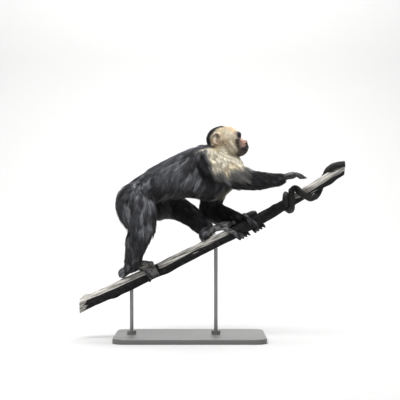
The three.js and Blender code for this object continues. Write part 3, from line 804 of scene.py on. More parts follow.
# Marks round the head's centre: the colour, how strong it is, where it lies and how far it reaches.
NOSE_MARKS = [
    (PINK * 0.45, 0.6, (56, 0, -12), (5, 5, 3.5)),  # below the nose
    (UMBER, 0.7, (53, 3, 1.0), (4.5, 6, 3.2)),  # top of the nose
    (UMBER * 0.7, 0.75, (47.5, 8.5, -8.5), (4.5, 5, 3.0)),  # corner of its wing
]
FACE_COAT_MARKS = [
    (TAN, 0.75, (20, 8, 28), (11, 18, 6)),  # above the brow
    (TAN, 0.55, (27, 20, 17), (9, 12, 8)),  # end of the brow
    (UMBER * 2.4, 0.45, (20, 25, 6), (8, 12, 7)),  # temple
]
EAR_MARKS = [
    (PALE, 0.9, (-22, 34, 5), (4, 20, 5)),  # the inner fold
    # painted shadow in the hollow above the fold
    (UMBER * 0.4, 0.95, (-15.0, 34, 12.0), (4.6, 20, 4.2)),  # the hollow above it
    # painted shade in the ear's opening
    (UMBER * 0.7, 0.85, (-16, 34, 0), (2.8, 20, 4.5)),  # the ear's opening
    # painted shade behind the fold
    (SMOKE, 0.7, (-26.5, 34, 10), (3.2, 20, 4.5)),  # behind the fold
]


def marked(q, colour, marks):
    for shade, strength, centre, radii in marks:
        colour = mix(colour, shade, strength * soft_spot(q, centre, radii))
    return colour


def face_colour(q):
    """The bare skin of the face: pink nose and muzzle sides, dark lips and chin, near-black lids with painted
    shade of the sockets round them.
    """
    x, y, z = q.T
    blotch = noise(q, 4.5, 31) + 0.6 * noise(q, 2.2, 32)
    low = -15.5 + 10 * step(47, 55, x) + 1.5 * blotch
    pink = step(35.5, 39, x + 0.8 * blotch) * step(low - 2.0, low + 1.5, z)
    wall = mix(PINK, PALE_LIP, 0.75 * soft_spot(q, (41, 12, -12), (4.5, 8, 6)))
    wall = wall * (1 + 0.30 * blotch)[:, None]
    colour = mix(MOUTH * (1 + 0.4 * blotch)[:, None], wall, pink)
    colour = mix(colour, UMBER * 1.4, 0.6 * step(4, 9, z) * step(2, 5, y))
    colour = mix(colour, UMBER * 1.8, 0.5 * step(13, 22, y + 1.5 * blotch))
    colour = marked(q, colour, NOSE_MARKS)
    colour = mix(colour, NOSTRIL * 0.4, step(2.1, 1.0, segment_distance(q, *NOSTRIL_LINE)))
    lips = step(-16.0, -18.0, z) * step(-25, -22.5, z) * step(38, 44, x)
    colour = mix(colour, LIP, np.maximum(lips, 0.9 * step(52, 56, x) * step(-6, -11, z)))
    colour = mix(colour, UMBER * 1.3, 0.6 * step(35, 27, x) * step(-6, 2, z))
    # the lids' dark skin, and painted shade in the sockets round them
    colour = mix(colour, LID_AND_SOCKET_SHADE, eye_patch(q))
    opening = lid_opening(q)
    colour = mix(colour, LID_AND_SOCKET_SHADE * 0.5, step(1.6, 0.4, opening) * step(0, 3, from_eye(q)[3]))
    crescent = soft_spot(q, (28.5, 20.5, 8.0), (2.6, 6, 2.2)) + soft_spot(q, (31.5, 20, 4.6), (2.6, 6, 2.0))
    return mix(colour, PALE_LIP, 0.8 * np.clip(crescent, 0, 1))


def face_coat(q, colour):
    """The short coat of the face: tan at brow and temple, a dark patch at the jaw, a pale line behind it."""
    x, y, z = q.T
    colour = colour * (1 - 0.14 * step(-8, 8, x) * step(2, 14, z))[:, None]
    colour = marked(q, colour, FACE_COAT_MARKS)
    # the cheeks' coat darker and browner: tan hair, and partly painted shade
    colour = mix(colour, CHEEK_TAN_AND_SHADE, 0.75 * step(-14, 4, x) * step(9, -6, z))
    # painted shade: the cream under the jaw darker
    colour = mix(colour, SHADED_CREAM * 1.5, 0.8 * step(2, 18, x) * step(-24, -36, z))
    flat = q * (1, 0, 1)
    pale_line = ((15, 0, -2), (21, 0, -11), (33, 0, -28))
    streak = np.minimum(segment_distance(flat, *pale_line[:2]), segment_distance(flat, *pale_line[1:]))
    colour = mix(colour, PALE * 1.05, 0.9 * step(3.2, 1.4, streak) * step(9, 13, y))
    patch = step(-1.5, 2.5, x - 26.5 + 0.35 * (z + 2) * step(2, -26, z)) * step(6, 1, z) * step(-33, -27, z)
    patch = patch * step(3.0, 6.0, streak + 20 * (x > 36))
    return mix(colour, UMBER * 0.62, 0.9 * patch * step(-1.3, 0.1, noise(q, 3.2, 34)))


def painted_coat_sheen(p, normals, shares):
    """Painted sheen and shade on the black coat, as light from above would give: most along the back, some on
    rump and legs, least below.
    """
    top = np.clip(normals[:, 2], 0, 1)
    outer = np.abs(normals[:, 1]) * (normals[:, 1] * p[:, 1] > 0)
    trunk = 0.04 + 0.44 * top + 0.62 * outer * step(345, 395, p[:, 2])
    # painted highlight: a lighter grey patch on the upper flank
    trunk += 0.35 * soft_spot(p, (-22, -50, 405), (34, 60, 26))
    legs = 0.12 + 0.44 * outer + 0.3 * top
    arms = 0.01 + 0.06 * top + 0.04 * outer
    painted_sheen = share_of(shares, "trunk", "neck") * trunk + share_of(shares, "thigh", "shank", "foot") * legs
    # painted light: the near shank lighter than the far one
    painted_sheen += share_of(shares, "shank") * 0.14 * step(10, -10, p[:, 1])
    painted_sheen += share_of(shares, "upper_arm", "forearm", "hand") * arms + share_of(shares, "tail", "head") * 0.1
    # painted shade: the inner sides of the limbs darker
    inner = (normals[:, 1] * np.sign(p[:, 1]) < 0) & (np.abs(p[:, 1]) > 8)
    limbs = share_of(shares, "thigh", "shank", "upper_arm", "forearm")
    painted_sheen *= 1 - 0.8 * limbs * inner * step(0.1, 0.6, np.abs(normals[:, 1]))
    # painted shade where the coat faces down; the noise is random tone
    return np.clip(painted_sheen * (1 - 0.75 * step(-0.05, -0.55, normals[:, 2])) + 0.07 * noise(p, 26, 6), 0, 1.2)


def markings(p, normals, shares):
    """The colour of coat or skin at each point, and how bare the skin is there."""
    x, y, z = p.T
    cream = cream_share(p, normals, shares)
    q = mirrored(p)
    warm = step(-0.2, 0.6, noise(p, 22, 5) + 0.25 * step(90, 50, x))
    light = mix(PALE, CREAM, 0.25 + 0.6 * warm)
    # the black coat, greyer with painted sheen where light falls and darker with painted shade below
    dark = mix(BLACK, SHEEN_GREY, painted_coat_sheen(p, normals, shares))
    # painted highlight: light catching the lower fringe of the flank, on its sides
    fringe = share_of(shares, "trunk") * step(366, 354, z) * step(334, 342, z) * step(22, 0, x)
    dark = mix(dark, SMOKE, 0.35 * fringe * step(0.3, 0.7, np.abs(normals[:, 1])))
    # the grey band; on the chest below the arm its cream is darker, as painted shade
    grey = mix(SMOKE, SHADED_CREAM, step(404, 384, z) * step(0.1, 0.7, normals[:, 0]))
    colour = mix(dark, grey, step(0.03, 0.45, cream))
    colour = mix(colour, light, step(0.5, 0.9, cream))
    # painted shadow in the crease below the ear, between head and mantle
    fold_shadow = share_of(shares, "neck", "head", "trunk") * soft_spot(q, (-29, 24, -12), (14, 18, 4.5))
    colour = mix(colour, UMBER * 0.6, np.clip(1.3 * fold_shadow, 0, 0.9))
    head = step(0.35, 0.7, share_of(shares, "head"))
    in_cream = head * step(0.4, 0.8, cream)
    colour = mix(colour, face_coat(q, colour), in_cream)
    bare = head * bare_face(q)
    colour = mix(colour, face_colour(q), bare)
    in_ear = ear_share(p)
    bowl = in_ear * step(0.0, 0.4, normals[:, 1] * np.sign(y) + 0.3 * normals[:, 0])
    pinna = mix(EAR_PINK * np.ones_like(q), EAR_ROSE, step(6, -4, q[:, 2]) * step(-22, -16, q[:, 0]))
    colour = mix(colour, marked(q, pinna, EAR_MARKS), bowl)
    # painted shadow under the ear's lobe
    shadow_below_ear = head * soft_spot(q, (-10, 31, -11), (5, 14, 2.6))
    colour = mix(colour, UMBER * 0.8, 0.9 * shadow_below_ear)
    grip = share_of(shares, "hand", "foot")
    # wear on hands and feet, random in tone, with painted light: lighter where they face up and on the near
    # side of the feet, darker on the far foot and hand
    wear_and_sheen = 0.25 + 0.5 * noise(p, 6, 7) + 0.7 * np.clip(normals[:, 2], 0, 1)
    wear_and_sheen = np.clip(wear_and_sheen, 0, 1) * (1 - 0.85 * step(-40, -20, x) * step(200, 170, x))
    wear_and_sheen += 2.6 * share_of(shares, "foot") * step(0, -12, y) * step(0.0, 0.6, noise(p, 5, 17) + 0.3)
    skin = mix(DARK_SKIN * np.ones_like(p), WORN_AND_LIT_SKIN, wear_and_sheen)
    # painted highlight along the edge of the sole, weaker on the far foot
    skin = mix(skin, SOLE_HIGHLIGHT, painted_sole_highlight(p, normals, shares) * (0.85 - 0.35 * step(-20, 10, x)))
    colour = mix(colour, skin, step(0.45, 0.75, grip))
    bare = np.clip(np.maximum.reduce([bare, bowl, step(0.45, 0.8, grip)]), 0, 1)
    return np.clip(colour, 0.002, 1), bare


def painted_sole_highlight(p, normals, shares):
    """1 along the painted highlight on the edge between the back of a foot and its sole."""
    foot = share_of(shares, "foot") + 0.6 * share_of(shares, "shank")
    height = np.interp(p[:, 0], Branch.line[:, 0], Branch.line[:, 2] + 1.12 * Branch.radius)
    band = (p[:, 2] - height - 5.5) / (3.0 - 1.3 * step(-20, 10, p[:, 0]))
    return np.clip(foot, 0, 1) * np.exp(-band**2) * step(0.25, 0.6, np.abs(normals[:, 1]))


def ear_share(p):
    """1 on the ear's bowl and rim, 0 off it."""
    q = mirrored(p) - EAR["at"]
    c, s = math.cos(EAR["turn"]), math.sin(EAR["turn"])
    along_ear, out = q[:, 0] * c + q[:, 1] * s, -q[:, 0] * s + q[:, 1] * c
    inside = np.hypot(along_ear / EAR["width"], q[:, 2] / EAR["height"])
    return step(1.25, 1.05, inside) * step(-5.5, -2.5, out)


# ---- materials ----

def new_material(name, values=None):
    """A material with one shader, whose inputs are given by name."""
    material = bpy.data.materials.new(name)
    material.use_nodes = True
    tree = material.node_tree
    tree.nodes.clear()
    output = tree.nodes.new("ShaderNodeOutputMaterial")
    shader = node(tree, "ShaderNodeBsdfPrincipled", values)
    tree.links.new(shader.outputs["BSDF"], output.inputs["Surface"])
    return material, tree, shader


def node(tree, kind_of_node, values=None, **settings):
    made = tree.nodes.new(kind_of_node)
    for key, value in settings.items():
        setattr(made, key, value)
    for key, value in (values or {}).items():
        made.inputs[key].default_value = value
    return made


def place_colour(tree):
    """The node that gives Object coordinates."""
    return node(tree, "ShaderNodeTexCoord").outputs["Object"]


def attribute(tree, name, output="Fac"):
    """An output of the node that reads an attribute of the mesh."""
    return node(tree, "ShaderNodeAttribute", attribute_name=name).outputs[output]


def ranged(tree, factor, low, high, start=0.3, end=0.7):
    """A factor's range from start to end, turned into the one from low to high."""
    values = {"From Min": start, "From Max": end, "To Min": low, "To Max": high}
    scale = node(tree, "ShaderNodeMapRange", values)
    tree.links.new(factor, scale.inputs["Value"])
    return scale.outputs["Result"]


def ramp(tree, factor, stops):
    """The colour at a factor, between stops that give a place and its red, green and blue."""
    made = node(tree, "ShaderNodeValToRGB")
    band = made.color_ramp
    while len(band.elements) < len(stops):
        band.elements.new(0.5)
    for element, (at, colour) in zip(band.elements, stops):
        element.position = at
        element.color = (*colour, 1)
    tree.links.new(factor, made.inputs["Fac"])
    return made.outputs["Color"]


def grain_group():
    """Shade variation and height of a surface: broad patches and fine speckle. Used by several finishes."""
    name = "Fine grain"
    if name in bpy.data.node_groups:
        return bpy.data.node_groups[name]
    group = bpy.data.node_groups.new(name, "ShaderNodeTree")
    side = group.interface
    side.new_socket("Vector", in_out="INPUT", socket_type="NodeSocketVector")
    for label, value in (("Patch scale", 40.0), ("Speckle scale", 900.0), ("Patch share", 0.5)):
        side.new_socket(label, in_out="INPUT", socket_type="NodeSocketFloat").default_value = value
    side.new_socket("Shade", in_out="OUTPUT", socket_type="NodeSocketFloat")
    side.new_socket("Height", in_out="OUTPUT", socket_type="NodeSocketFloat")
    start, end = group.nodes.new("NodeGroupInput"), group.nodes.new("NodeGroupOutput")
    patch = node(group, "ShaderNodeTexNoise", {"Detail": 4.0, "Roughness": 0.6})
    speckle = node(group, "ShaderNodeTexNoise", {"Detail": 6.0, "Roughness": 0.7})
    both = node(group, "ShaderNodeMix", data_type="FLOAT")
    for texture, scale in ((patch, "Patch scale"), (speckle, "Speckle scale")):
        group.links.new(start.outputs["Vector"], texture.inputs["Vector"])
        group.links.new(start.outputs[scale], texture.inputs["Scale"])
    group.links.new(start.outputs["Patch share"], both.inputs["Factor"])
    group.links.new(speckle.outputs["Fac"], both.inputs["A"])
    group.links.new(patch.outputs["Fac"], both.inputs["B"])
    group.links.new(both.outputs["Result"], end.inputs["Shade"])
    group.links.new(speckle.outputs["Fac"], end.inputs["Height"])
    return group


def grain(tree, patch, speckle, share=0.5):
    values = {"Patch scale": patch, "Speckle scale": speckle, "Patch share": share}
    made = tree.nodes.new("ShaderNodeGroup")
    made.node_tree = grain_group()
    for name, value in values.items():
        made.inputs[name].default_value = value
    tree.links.new(place_colour(tree), made.inputs["Vector"])
    return made


def bump(tree, shader, height, distance, strength=1.0):
    made = node(tree, "ShaderNodeBump", {"Strength": strength, "Distance": distance})
    tree.links.new(height, made.inputs["Height"])
    tree.links.new(made.outputs["Normal"], shader.inputs["Normal"])


def mixed_colour(tree, factor, a, b, **settings):
    """A mix of two colours by a factor that is a number or an output."""
    made = node(tree, "ShaderNodeMix", data_type="RGBA", **settings)
    if isinstance(factor, float):
        made.inputs["Factor"].default_value = factor
    else:
        tree.links.new(factor, made.inputs["Factor"])
    tree.links.new(a, made.inputs["A"])
    tree.links.new(b, made.inputs["B"])
    return made.outputs["Result"]


def added(tree, a, b):
    made = node(tree, "ShaderNodeMath", operation="ADD")
    tree.links.new(a, made.inputs[0])
    tree.links.new(b, made.inputs[1])
    return made.outputs["Value"]


def coat_material():
    material, tree, shader = new_material("Coat", {
        "Roughness": 0.5, "Specular IOR Level": 0.2, "Sheen Weight": 0.05, "Sheen Roughness": 0.4,
    })
    tree.links.new(attribute(tree, "coat_colour", "Color"), shader.inputs["Base Color"])
    return material


def skin_material():
    material, tree, shader = new_material("Skin", {
        "Specular IOR Level": 0.4, "Subsurface Weight": 0.06, "Subsurface Radius": (0.004, 0.0015, 0.0008),
        "Subsurface Scale": 0.6,
    })
    lines = grain(tree, 260.0, 1500.0, 0.6)
    shade = ranged(tree, lines.outputs["Shade"], 0.78, 1.18)
    marked_skin = attribute(tree, "skin_colour", "Color")
    colour = mixed_colour(tree, 1.0, marked_skin, shade, blend_type="MULTIPLY", clamp_factor=False)
    tree.links.new(colour, shader.inputs["Base Color"])
    rough = ranged(tree, attribute(tree, "bare"), 0.75, 0.5, 0.0, 1.0)
    tree.links.new(rough, shader.inputs["Roughness"])
    creases = node(tree, "ShaderNodeTexVoronoi", {"Scale": 700.0}, feature="DISTANCE_TO_EDGE")
    tree.links.new(place_colour(tree), creases.inputs["Vector"])
    bump(tree, shader, creases.outputs["Distance"], 0.0006, 0.5)
    return material


def eye_material():
    """Pupil, iris with a dark rim, and the dark white of the eye, by the angle from the line of sight."""
    material, tree, shader = new_material("Eye", {"Roughness": 0.06, "Specular IOR Level": 0.4})
    rings = ramp(tree, attribute(tree, "gaze_angle"), [
        (0.0, (0.002, 0.002, 0.002)), (0.078, (0.002, 0.002, 0.002)), (0.09, (0.062, 0.026, 0.009)),
        (0.19, (0.036, 0.014, 0.006)), (0.225, (0.006, 0.004, 0.003)), (0.27, (0.016, 0.011, 0.009)),
        (0.6, (0.02, 0.015, 0.012)),
    ])
    tree.links.new(rings, shader.inputs["Base Color"])
    return material


def nail_material():
    material, tree, shader = new_material("Nail", {"Roughness": 0.3})
    marks = grain(tree, 600.0, 2500.0)
    bands = ramp(tree, marks.outputs["Shade"], [(0.35, (0.018, 0.016, 0.015)), (0.65, (0.055, 0.05, 0.046))])
    tree.links.new(bands, shader.inputs["Base Color"])
    return material


def wood_material():
    """Weathered branch: grey bare wood with long grain, under torn black bark where the attribute says."""
    material, tree, shader = new_material("Weathered branch", {"Roughness": 0.78, "Specular IOR Level": 0.15})
    long_grain = node(tree, "ShaderNodeTexNoise", {
        "Scale": 1.0, "Detail": 7.0, "Roughness": 0.65, "Distortion": 0.4,
    })
    tree.links.new(attribute(tree, "fibre", "Vector"), long_grain.inputs["Vector"])
    wood = ramp(tree, long_grain.outputs["Fac"], [
        (0.34, (0.03, 0.028, 0.026)), (0.45, (0.20, 0.19, 0.175)), (0.55, (0.46, 0.445, 0.41)),
        (0.72, (0.72, 0.70, 0.655)),
    ])
    flakes = grain(tree, 120.0, 700.0, 0.45)
    dark = ramp(tree, flakes.outputs["Shade"], [
        (0.36, (0.004, 0.004, 0.005)), (0.52, (0.013, 0.013, 0.014)), (0.68, (0.05, 0.049, 0.047)),
    ])
    torn = ranged(tree, flakes.outputs["Shade"], -0.42, 0.42)
    edge = ranged(tree, added(tree, attribute(tree, "bark"), torn), 0.0, 1.0, 0.44, 0.56)
    tree.links.new(mixed_colour(tree, edge, wood, dark), shader.inputs["Base Color"])
    bump(tree, shader, added(tree, long_grain.outputs["Fac"], edge), 0.0015, 0.8)
    return material


def vine_material():
    material, tree, shader = new_material("Dark vine", {"Roughness": 0.6, "Specular IOR Level": 0.25})
    flakes = grain(tree, 150.0, 800.0, 0.4)
    dark = ramp(tree, flakes.outputs["Shade"], [
        (0.38, (0.005, 0.005, 0.006)), (0.55, (0.014, 0.0135, 0.013)), (0.7, (0.07, 0.068, 0.062)),
    ])
    tree.links.new(dark, shader.inputs["Base Color"])
    bump(tree, shader, flakes.outputs["Shade"], 0.0015, 0.9)
    return material


def lacquer_material(colour):
    material, tree, shader = new_material("Painted board", {"Roughness": 0.42})
    specks = grain(tree, 30.0, 1600.0, 0.6)
    base = ramp(tree, specks.outputs["Shade"], [(0.3, tuple(c * 0.93 for c in colour)), (0.7, tuple(colour))])
    tree.links.new(base, shader.inputs["Base Color"])
    bump(tree, shader, specks.outputs["Height"], 0.0002, 0.35)
    return material


def steel_material():
    material, tree, shader = new_material("Brushed steel", {"Metallic": 1.0})
    streaks = grain(tree, 60.0, 1200.0, 0.35)
    base = ramp(tree, streaks.outputs["Shade"], [(0.3, (0.20, 0.20, 0.198)), (0.7, (0.34, 0.34, 0.335))])
    tree.links.new(base, shader.inputs["Base Color"])
    tree.links.new(ranged(tree, streaks.outputs["Shade"], 0.28, 0.42), shader.inputs["Roughness"])
    return material


# ---- the skin ----

def relax(p, edges, share, rounds):
    """Moves each point towards its neighbours' middle by its share, round after round."""
    count = np.bincount(edges.ravel(), minlength=len(p))[:, None]
    for _ in range(rounds):
        total = np.zeros_like(p)
        for k in range(3):
            for one, other in ((0, 1), (1, 0)):
                total[:, k] += np.bincount(edges[:, one], p[edges[:, other], k], len(p))
        p = p + share[:, None] * (total / np.maximum(count, 1) - p)
    return p


def read_points(mesh):
    return read_array(mesh.vertices, "co", 3) / MM


def read_normals(mesh):
    return read_array(mesh.vertex_normals, "vector", 3)


def write_points(mesh, p):
    mesh.vertices.foreach_set("co", (p * MM).ravel())
    mesh.update()


def tail():
    """The tail under its coat, which is thinner at the tip."""
    radii = [r - COAT["tail"]["depth"] * (1 if r > 10 else 0.6) for r in TAIL_RADII]
    return tube(TAIL, radii, steps=90, reference=(0.1, 0.1, 1))


def build_flesh():
    """Every mass of the body, gathered in one mesh that isn't fused yet."""
    NAILS.clear()
    flesh = Flesh()
    shapes = [trunk(), neck(), head_ball()]
    for side, sign in (("left", 1), ("right", -1)):
        shapes += [ear(sign), *arm(side), *leg(side)]
    for shape in [*shapes, *hand_left(), *hand_right(), *foot_left(), *foot_right(), tail()]:
        flesh.add(shape)
    return flesh


def refine(made, wanted):
    """Splits once the faces whose points are all wanted."""
    work = bmesh.new()
    work.from_mesh(made.data)
    work.verts.ensure_lookup_table()
    edges = [e for e in work.edges if wanted[e.verts[0].index] and wanted[e.verts[1].index]]
    bmesh.ops.subdivide_edges(work, edges=edges, cuts=1, use_grid_fill=True)
    work.to_mesh(made.data)
    work.free()


def fit_face(p):
    """Draws points of the head onto its finished shape, with full effect at the face and none at the neck."""
    q = mirrored(p)
    share = step(-14, 10, q[:, 0] + 0.5 * q[:, 2]) * step(20, 8, np.abs(face_shape(q)))
    share *= step(0.25, 0.75, 1 - ear_share(p)) * step(1.15, 1.6, ear_nearness(p))
    chosen = np.nonzero(share > 0.01)[0]
    points = p[chosen].copy()
    gap = 0.15  # over which the slope is taken
    for _ in range(7):
        q = mirrored(points)
        d = face_shape(q)
        slope = np.stack([face_shape(q + gap * axis) - d for axis in np.eye(3)], axis=1) / gap
        slope[:, 1] *= np.sign(points[:, 1] - HEAD[1])
        size = np.maximum((slope**2).sum(axis=1), 0.15)
        points -= (np.clip(d, -2, 2) / size)[:, None] * slope * 0.8
    p = p.copy()
    p[chosen] += share[chosen, None] * (points - p[chosen])
    return p


def ear_nearness(p):
    q = mirrored(p) - EAR["at"]
    return np.linalg.norm(q / (EAR["width"] * 1.15, 11, EAR["height"] * 1.1), axis=1)


def thin_body(made, fine, ratio):
    """Takes points out of the mesh where the coat hides it, and leaves the fine parts as they are."""
    group = made.vertex_groups.new(name="body")
    for weight in (0.0, 1.0):
        rows = np.nonzero((fine < 0.5) == (weight > 0.5))[0]
        group.add([int(i) for i in rows], weight, "REPLACE")
    thin = made.modifiers.new("Thin", "DECIMATE")
    thin.ratio = ratio
    thin.vertex_group = group.name
    thin.vertex_group_factor = 10.0
    applied(made)
    made.vertex_groups.clear()


def make_skin(voxel, share):
    """One skin: fused, relaxed and thinned under the coat, then fitted to the shape of the face."""
    flesh = build_flesh()
    made = make_object("skin", np.vstack(flesh.verts), flesh.faces)
    fuse = made.modifiers.new("Fuse", "REMESH")
    fuse.mode = "VOXEL"
    fuse.voxel_size = voxel
    applied(made)
    p = read_points(made.data)
    shares, _, _, _ = survey(p)
    fine = sum(step(0.3, 0.6, share_of(shares, *kinds)) for kinds in (("hand", "foot"), ("head",)))
    fine = np.clip(fine, 0, 1)
    edges = read_array(made.data.edges, "vertices", 2, np.int64)
    p = relax(p, edges, 0.5 * (1 - fine), 24)
    p = relax(p, edges, np.full(len(p), 0.35), 2)
    write_points(made.data, p)
    thin_body(made, fine, share)
    p = read_points(made.data)
    q = mirrored(p)
    face = (q[:, 0] > 14) & (np.abs(head_shape(q)) < 12)
    refine(made, face)
    q = mirrored(read_points(made.data))
    distance, _, _, ahead = from_eye(q)
    nostrils = segment_distance(q, *NOSTRIL_LINE) < 4.5
    refine(made, ((distance < 12.5) & (ahead > 1)) | nostrils)
    p = fit_face(read_points(made.data))
    write_points(made.data, p)
    made.data.validate()
    made.data.shade_smooth()
    normals = read_normals(made.data)
    shares, _, _, _ = survey(p)
    colour, bare = markings(p, normals, shares)
    under = colour * (0.55 + 0.3 * step(0.2, 0.5, colour.mean(axis=1)))[:, None]
    set_colours(made.data, "skin_colour", mix(colour, under, 1 - bare))
    add_values(made.data, "bare", "FLOAT", bare)
    made.data.materials.append(skin_material())
    return made


def set_colours(mesh, name, colours):
    add_values(mesh, name, "FLOAT_COLOR", np.column_stack([colours, np.ones(len(colours))]))


# ---- the coat ----

PIECE_LIMIT = 180000  # triangles in one piece of the coat
TUFTS_IN_LOCK = 34
LONG_TUFT = 10  # from this length on, a tuft bends
ROOT_DEPTH = 0.6
LOCK_TONES = (-2.0, 1.7)

# Where the coat is longer and looser: the centre and the reach of each place.
SHOULDER = ((26, -38, 428), (22, 25, 32))
FAR_CROOK = ((38, 40, 296), (24, 60, 22))  # between the far forearm and the far thigh
BEFORE_EAR = ((-7, 28, 5), (7, 14, 13))  # from the head's centre


def weighed_triangles(mesh, density):
    """The mesh's triangles, and twice the density summed over each of them."""
    mesh.calc_loop_triangles()
    tris = read_array(mesh.loop_triangles, "vertices", 3, np.int64)
    a, b, c = (read_points(mesh)[tris[:, k]] for k in range(3))
    return tris, np.linalg.norm(np.cross(b - a, c - a), axis=1) * density[tris].mean(axis=1)


def sample_surface(mesh, density, count, rng):
    """Random places on a mesh, more where its density is higher: place, normal, nearest point."""
    tris, weight = weighed_triangles(mesh, density)
    p, n = read_points(mesh), read_normals(mesh)
    chosen = np.searchsorted(np.cumsum(weight) / weight.sum(), rng.random(count))
    chosen = np.minimum(chosen, len(tris) - 1)
    u, v = rng.random((2, count))
    flip = u + v > 1
    u[flip], v[flip] = 1 - u[flip], 1 - v[flip]
    bary = np.stack([1 - u - v, u, v], axis=1)
    corners = tris[chosen]
    place = (p[corners] * bary[..., None]).sum(axis=1)
    normal = unit((n[corners] * bary[..., None]).sum(axis=1))
    return place, normal, corners[np.arange(count), bary.argmax(axis=1)]


def search_tree(points):
    tree = KDTree(len(points))
    for i, point in enumerate(points):
        tree.insert(point, i)
    tree.balance()
    return tree


class Ground:
    """The skin as the coat sees it: nearest point, normal and lie."""

    def __init__(self, mesh):
        self.mesh = mesh
        self.points, self.normals = read_points(mesh), read_normals(mesh)
        self.shares, self.runs, self.places, self.axes = survey(self.points)
        self.lie = lie_of_coat(self.points, self.normals, self.shares, self.runs)
        self.tree = search_tree(self.points)

    def nearest(self, p):
        find = self.tree.find
        return np.fromiter((find(point)[1] for point in p), dtype=np.int64, count=len(p))

    def walk(self, root, normal, way, length, steps):
        """Points of hairs that follow the lie from their roots; steps give each part's share and height."""
        points = [root - normal * ROOT_DEPTH]
        at = root
        for share, height in steps:
            at = at + way * (length * share)[:, None]
            near = self.nearest(at)
            n = self.normals[near]
            at = at - (((at - self.points[near]) * n).sum(axis=1))[:, None] * n
            way = unit(0.5 * way + 0.5 * self.lie[near])
            points.append(at + n * height[:, None])
        return np.stack(points, axis=1)


def tuft_mesh(name, hairs, sides, width, thick, shades, corner_uv):
    """Closed tapering tufts, three-sided, from their points (tufts, stations, 3) to one mesh."""
    count, stations, _ = hairs.shape
    along_hair = unit(np.diff(hairs, axis=1))
    ahead = np.concatenate([along_hair, along_hair[:, -1:]], axis=1)
    side = unit(sides[:, None, :] - (sides[:, None, :] * ahead).sum(axis=2, keepdims=True) * ahead)
    up = np.cross(side, ahead)
    taper = np.array([1.0] if stations == 2 else [0.7, 1.0])
    half = width[:, None, None] * taper[None, :, None] / 2
    rise = thick[:, None, None] * taper[None, :, None]
    body, s, u = hairs[:, :-1], side[:, :-1], up[:, :-1]
    rings = np.stack([body - s * half, body + s * half, body + u * rise], axis=2)
    verts = np.concatenate([rings.reshape(count, -1, 3), hairs[:, -1:]], axis=1)
    per = verts.shape[1]
    tip = per - 1
    pattern, sizes = [(0, 2, 1)], [3]
    for r in range(stations - 2):
        for a, b in ((0, 1), (1, 2), (2, 0)):
            pattern.append((3 * r + a, 3 * r + b, 3 * r + 3 + b, 3 * r + 3 + a))
            sizes.append(4)
    for a, b in ((0, 1), (1, 2), (2, 0)):
        last = 3 * (stations - 2)
        pattern.append((last + a, last + b, tip))
        sizes.append(3)
    flat = np.array([i for face in pattern for i in face])
    loops = (np.arange(count)[:, None] * per + flat).ravel()
    starts = np.concatenate([[0], np.cumsum(np.tile(sizes, count))[:-1]])
    mesh = bpy.data.meshes.new(name)
    mesh.vertices.add(count * per)
    mesh.vertices.foreach_set("co", (verts * MM).ravel())
    mesh.loops.add(len(loops))
    mesh.loops.foreach_set("vertex_index", loops.astype(np.int32))
    mesh.polygons.add(len(starts))
    mesh.polygons.foreach_set("loop_start", starts.astype(np.int32))
    mesh.update(calc_edges=True)
    mesh.shade_smooth()
    levels = np.append(np.repeat(np.arange(stations - 1), 3), stations - 1) / (stations - 1)
    across = np.append(np.tile([-1.0, 1.0, 0.0], stations - 1), 0.0)
    fade = levels[None, :, None]
    tone = shades["root"][:, None, :] * (1 - fade) + shades["tip"][:, None, :] * fade
    set_colours(mesh, "coat_colour", tone.reshape(-1, 3))
    patch = 0.0014
    uv = corner_uv[:, None, :] + patch * np.stack([across, 2 * levels - 1], axis=1)[None]
    layer = mesh.uv_layers.new(name="OFBake")
    layer.data.foreach_set("uv", uv.reshape(-1, 2)[loops].ravel())
    return new_object(name, mesh)


def unwrap(p, region, places, axes, runs):
    """Where a root lies on an unwrap of the skin: each region is rolled flat in its own square of 4 by 4."""
    index = np.arange(len(p))
    axis, run, place = axes[region, index], runs[region, index], places[region, index]
    out = unit(p - axis)
    first = unit(np.cross(run, (0.3, 0.2, 0.93)))
    second = np.cross(run, first)
    turn = np.arctan2((out * second).sum(axis=1), (out * first).sum(axis=1)) / (2 * math.pi) + 0.5
    margin = 0.04
    cells = ((region % 4, turn), (region // 4, place))
    return np.stack([(cell + margin + (1 - 2 * margin) * share) / 4 for cell, share in cells], axis=1)


def coat_density(ground, layers):
    """Tufts for each square millimetre: enough for that many layers, fewer on bare skin, none in the grip."""
    shares, p, normals = ground.shares, ground.points, ground.normals
    length = blend(shares, "length") * coat_growth(p)
    cream = cream_share(p, normals, shares)
    density = layers * (1 + 0.3 * cream) / (blend(shares, "width") * np.maximum(length, 3))
    density *= 1 - 0.35 * share_of(shares, "tail")
    q = mirrored(p)
    head = step(0.35, 0.7, share_of(shares, "head"))
    density *= 1 - step(0.35, 0.9, head * bare_face(q))
    bowl = step(-0.1, 0.35, normals[:, 1] * np.sign(p[:, 1]) + 0.3 * normals[:, 0])
    density *= 1 - ear_share(p) * bowl * step(-14, -19, q[:, 0]) * 0.55
    grip = step(0.5, 0.8, share_of(shares, "hand", "foot"))
    return density * (1 - grip * (1 - 0.4 * back_of_grip(p, normals)))


def back_of_grip(p, normals):
    """1 on the backs of hands and feet, 0 on palms, soles and the undersides of digits."""
    centre = np.stack([np.interp(p[:, 0], Branch.line[:, 0], Branch.line[:, k]) for k in range(3)], axis=1)
    from_branch = unit(p - centre)
    facing = (from_branch * normals).sum(axis=1)
    high = p[:, 2] > 372
    facing = np.where(high & (p[:, 0] > 205), normals[:, 2], facing)
    return step(0.1, 0.6, facing)


